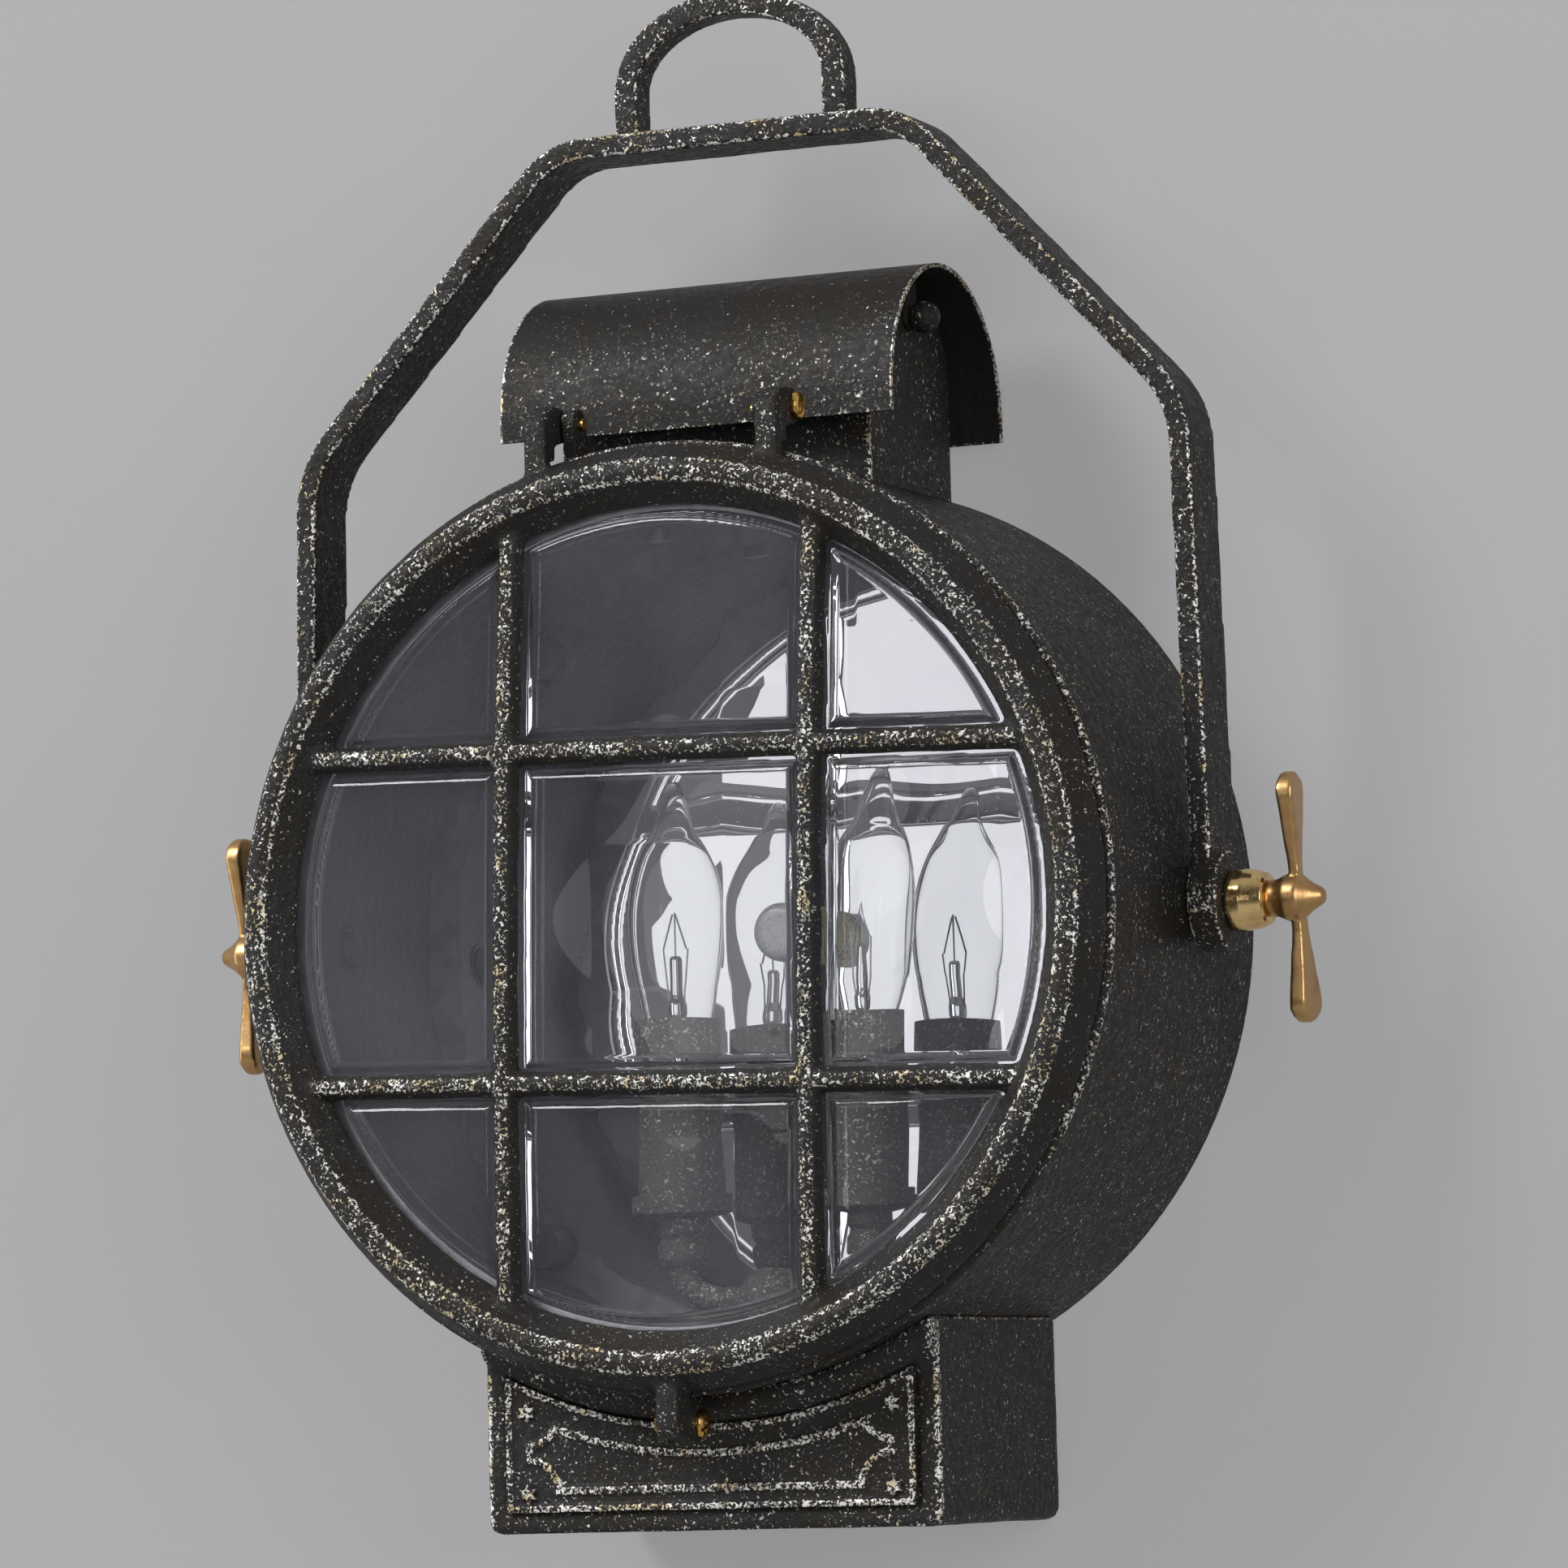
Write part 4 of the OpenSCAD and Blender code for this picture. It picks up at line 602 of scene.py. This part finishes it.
def studio_plane(name, half, matrix, material):
    mesh = bpy.data.meshes.new(name)
    mesh.from_pydata([(-half, -half, 0), (half, -half, 0), (half, half, 0), (-half, half, 0)], [], [(0, 1, 2, 3)])
    plane = new_piece(name, mesh)
    plane.matrix_world = matrix
    mesh.materials.append(material)
    return plane


def studio_world():
    """Pale to the camera, soft light for the object, and a dim far room for the mirror."""
    world = bpy.data.worlds.new("studio")
    bpy.context.scene.world = world
    world.use_nodes = True
    tree = world.node_tree
    tree.nodes.clear()

    def node(kind, **settings):
        made = tree.nodes.new(kind)
        for name, value in settings.items():
            setattr(made, name, value)
        return made

    coords = node("ShaderNodeTexCoord")
    split = node("ShaderNodeSeparateXYZ")
    far_room = node("ShaderNodeMapRange", interpolation_type="SMOOTHSTEP")
    far_room.inputs["From Min"].default_value = -0.84
    far_room.inputs["From Max"].default_value = -0.45
    far_room.inputs["To Min"].default_value = 0.075
    far_room.inputs["To Max"].default_value = 0.42
    rays = node("ShaderNodeLightPath")
    pick_glossy = node("ShaderNodeMix", data_type="FLOAT")
    pick_glossy.inputs[2].default_value = 0.26
    pick_camera = node("ShaderNodeMix", data_type="FLOAT")
    pick_camera.inputs[3].default_value = 0.62
    background = node("ShaderNodeBackground")
    background.inputs["Color"].default_value = (1.0, 1.0, 1.03, 1)
    out = node("ShaderNodeOutputWorld")
    for a, b in ((coords.outputs["Generated"], split.inputs[0]), (split.outputs["Y"], far_room.inputs["Value"]),
                 (far_room.outputs["Result"], pick_glossy.inputs[3]),
                 (rays.outputs["Is Glossy Ray"], pick_glossy.inputs[0]),
                 (pick_glossy.outputs[0], pick_camera.inputs[2]),
                 (rays.outputs["Is Camera Ray"], pick_camera.inputs[0]),
                 (pick_camera.outputs[0], background.inputs["Strength"]),
                 (background.outputs[0], out.inputs["Surface"])):
        tree.links.new(a, b)


camera_place = photo_camera()

door_metal = cast_metal("door_casting", door_wear)
drum_metal = cast_metal("drum_casting", drum_wear, 0.55, soft_edge=0.8 * MM, grain=0.8, coat=drum_inside)
bail_metal = cast_metal("bail_casting", bail_wear_and_highlight)
loop_metal = cast_metal("loop_casting", loop_wear)
hood_metal = cast_metal("hood_sheet", hood_wear, 0.54, soft_edge=0.5 * MM, grain=0.6, dots=0.36, shine=-0.08)
base_metal = cast_metal("base_casting", base_wear)
panel_metal = cast_metal("panel_casting", panel_wear)
stud_metal = cast_metal("stud_casting", plain_wear(1.5), soft_edge=0.3 * MM)
vent_metal = cast_metal("vent_casting", vent_wear, soft_edge=0.8 * MM)
lamp_metal = cast_metal("lamp_casting", plain_wear(0.55), 0.46, soft_edge=0.4 * MM, grain=0.9, coat=lamp_coat,
                        coat_colour=LAMP_COAT)
satin_brass = brushed_metal("satin_brass", BRASS_SATIN, BRASS_SATIN_DARK, 0.34, mottle=70, grain=1400, depth=0.02)
polished_brass = brushed_metal("polished_brass", (0.82, 0.58, 0.26, 1), (0.58, 0.36, 0.13, 1), 0.14, mottle=90,
                               depth=0.01)
bright_brass = brushed_metal("bright_brass", BRASS_BRIGHT, BRASS_BRIGHT_DARK, 0.16, mottle=160)
zinc = brushed_metal("zinc_plate", ZINC, ZINC_DARK, 0.34)
grey_paint = brushed_metal("grey_cap", (0.34, 0.34, 0.35, 1), (0.26, 0.26, 0.27, 1), 0.30, metallic=0.4)
nut_brass = brushed_metal("nut_brass", (0.62, 0.50, 0.24, 1), (0.42, 0.31, 0.12, 1), 0.30, metallic=0.55)
black_steel = brushed_metal("black_steel", (0.060, 0.060, 0.064, 1), (0.040, 0.040, 0.042, 1), 0.50, metallic=0.5)
green_plate = brushed_metal("green_plate", (0.06, 0.26, 0.10, 1), (0.03, 0.15, 0.06, 1), 0.30, metallic=0.8)
tungsten = brushed_metal("tungsten", (0.30, 0.30, 0.31, 1), (0.20, 0.20, 0.21, 1), 0.35)
rope_seal = matte("rope_seal", (0.020, 0.020, 0.020, 1), (0.045, 0.045, 0.043, 1), 0.85, 900, 0.3)
fibre = matte("fibre", (0.16, 0.07, 0.035, 1), (0.10, 0.045, 0.022, 1), 0.7, 700)
socket_black = matte("socket_black", (0.02, 0.02, 0.02, 1), (0.03, 0.03, 0.03, 1), 0.45, 300)
# The lens gets a faint painted reflection of the pale room as a diffuse film
lens_glass = clear_glass("lens_glass", (0.96, 0.965, 0.98, 1), reflection_veil=0.029)
bulb_glass = clear_glass("bulb_glass", (0.985, 0.99, 0.99, 1), index=1.25)

MATERIAL_OF = {
    drum_metal: ["drum_shell"],
    hood_metal: ["hood"],
    vent_metal: ["vent_box", "hood_ball_nuts"],
    stud_metal: ["panel_studs"],
    lamp_metal: ["lamp_hub", "lamp_arms", "candle_cups", "candle_sleeves"],
    polished_brass: ["barrel_left", "barrel_right"],
    bright_brass: ["hinge_screws", "latch_screw", "latch_nut", "center_nipple", "socket_shells", "bulb_caps"],
    nut_brass: ["mirror_nut"],
    black_steel: ["pivot_studs"],
    zinc: ["back_plate", "back_plate_screws", "crossbar", "nipple_lock_nut", "base_screws", "vent_screws",
           "hood_rod", "hub_nut", "retaining_ring", "retaining_screws", "filament_supports"],
    grey_paint: ["cap_nut"],
    green_plate: ["ground_screw"],
    tungsten: ["filaments"],
    rope_seal: ["door_gasket", "lens_gasket"],
    fibre: ["friction_washers"],
    socket_black: ["lamp_sockets"],
    bulb_glass: ["bulb_stems"],
    silvering(): ["mirror_disc"],
}
for material, names in MATERIAL_OF.items():
    for name in names:
        mesh = NODES[name].data
        mesh.materials.clear()
        mesh.materials.append(material)

foundry_copy("door_frame", door_metal, 1.1)
foundry_copy("bail", bail_metal, 0.9, rounds=3)
foundry_copy("bail_loop", loop_metal, 0.9, rounds=3)
foundry_copy("base_box", base_metal, 1.2, rounds=3)
foundry_copy("front_panel", panel_metal, 0.6, rounds=3, wobble=0.05, lumps=0.10)
foundry_copy("wing_nut_left", satin_brass, 0.5, rounds=12, wobble=0.1, lumps=0.0, fuller=0.25)
foundry_copy("wing_nut_right", satin_brass, 0.5, rounds=12, wobble=0.1, lumps=0.0, fuller=0.25)
pressed_lens(lens_glass)
bent_tip_bulbs(bulb_glass)

studio_world()
WALL_Y, FLOOR_Z, STUDIO_HALF = 0.5 * MM, -1.1, 7.0
studio_plane("studio_wall", STUDIO_HALF, Matrix.Translation((0, WALL_Y, 0)) @ Matrix.Rotation(math.pi / 2, 4, "X"),
             seen_from_front("wall_paint", WALL_GREY, 0.4, WALL_GLOW))
studio_plane("studio_floor", STUDIO_HALF, Matrix.Translation((0, 0, FLOOR_Z)),
             seen_from_front("floor_paint", FLOOR_GREY, 0.2))
softbox("key", (-1.5, -2.3, 1.9), (0, 0, 0), 1.3, 72)
strip = softbox("strip", (-2.1, -1.2, 0.1), (0, -0.1, 0), 0.40, 18, height=2.8)
strip.visible_diffuse = False
softbox("fill", (2.2, -2.2, 0.5), (0, 0, 0), 1.6, 36)
softbox("back_fill", (0.6, 2.6, 1.4), (0, 0, 0), 1.8, 40)
mirror_softbox(camera_place)
edge_softbox()

bpy.context.scene.view_settings.view_transform = "Standard"
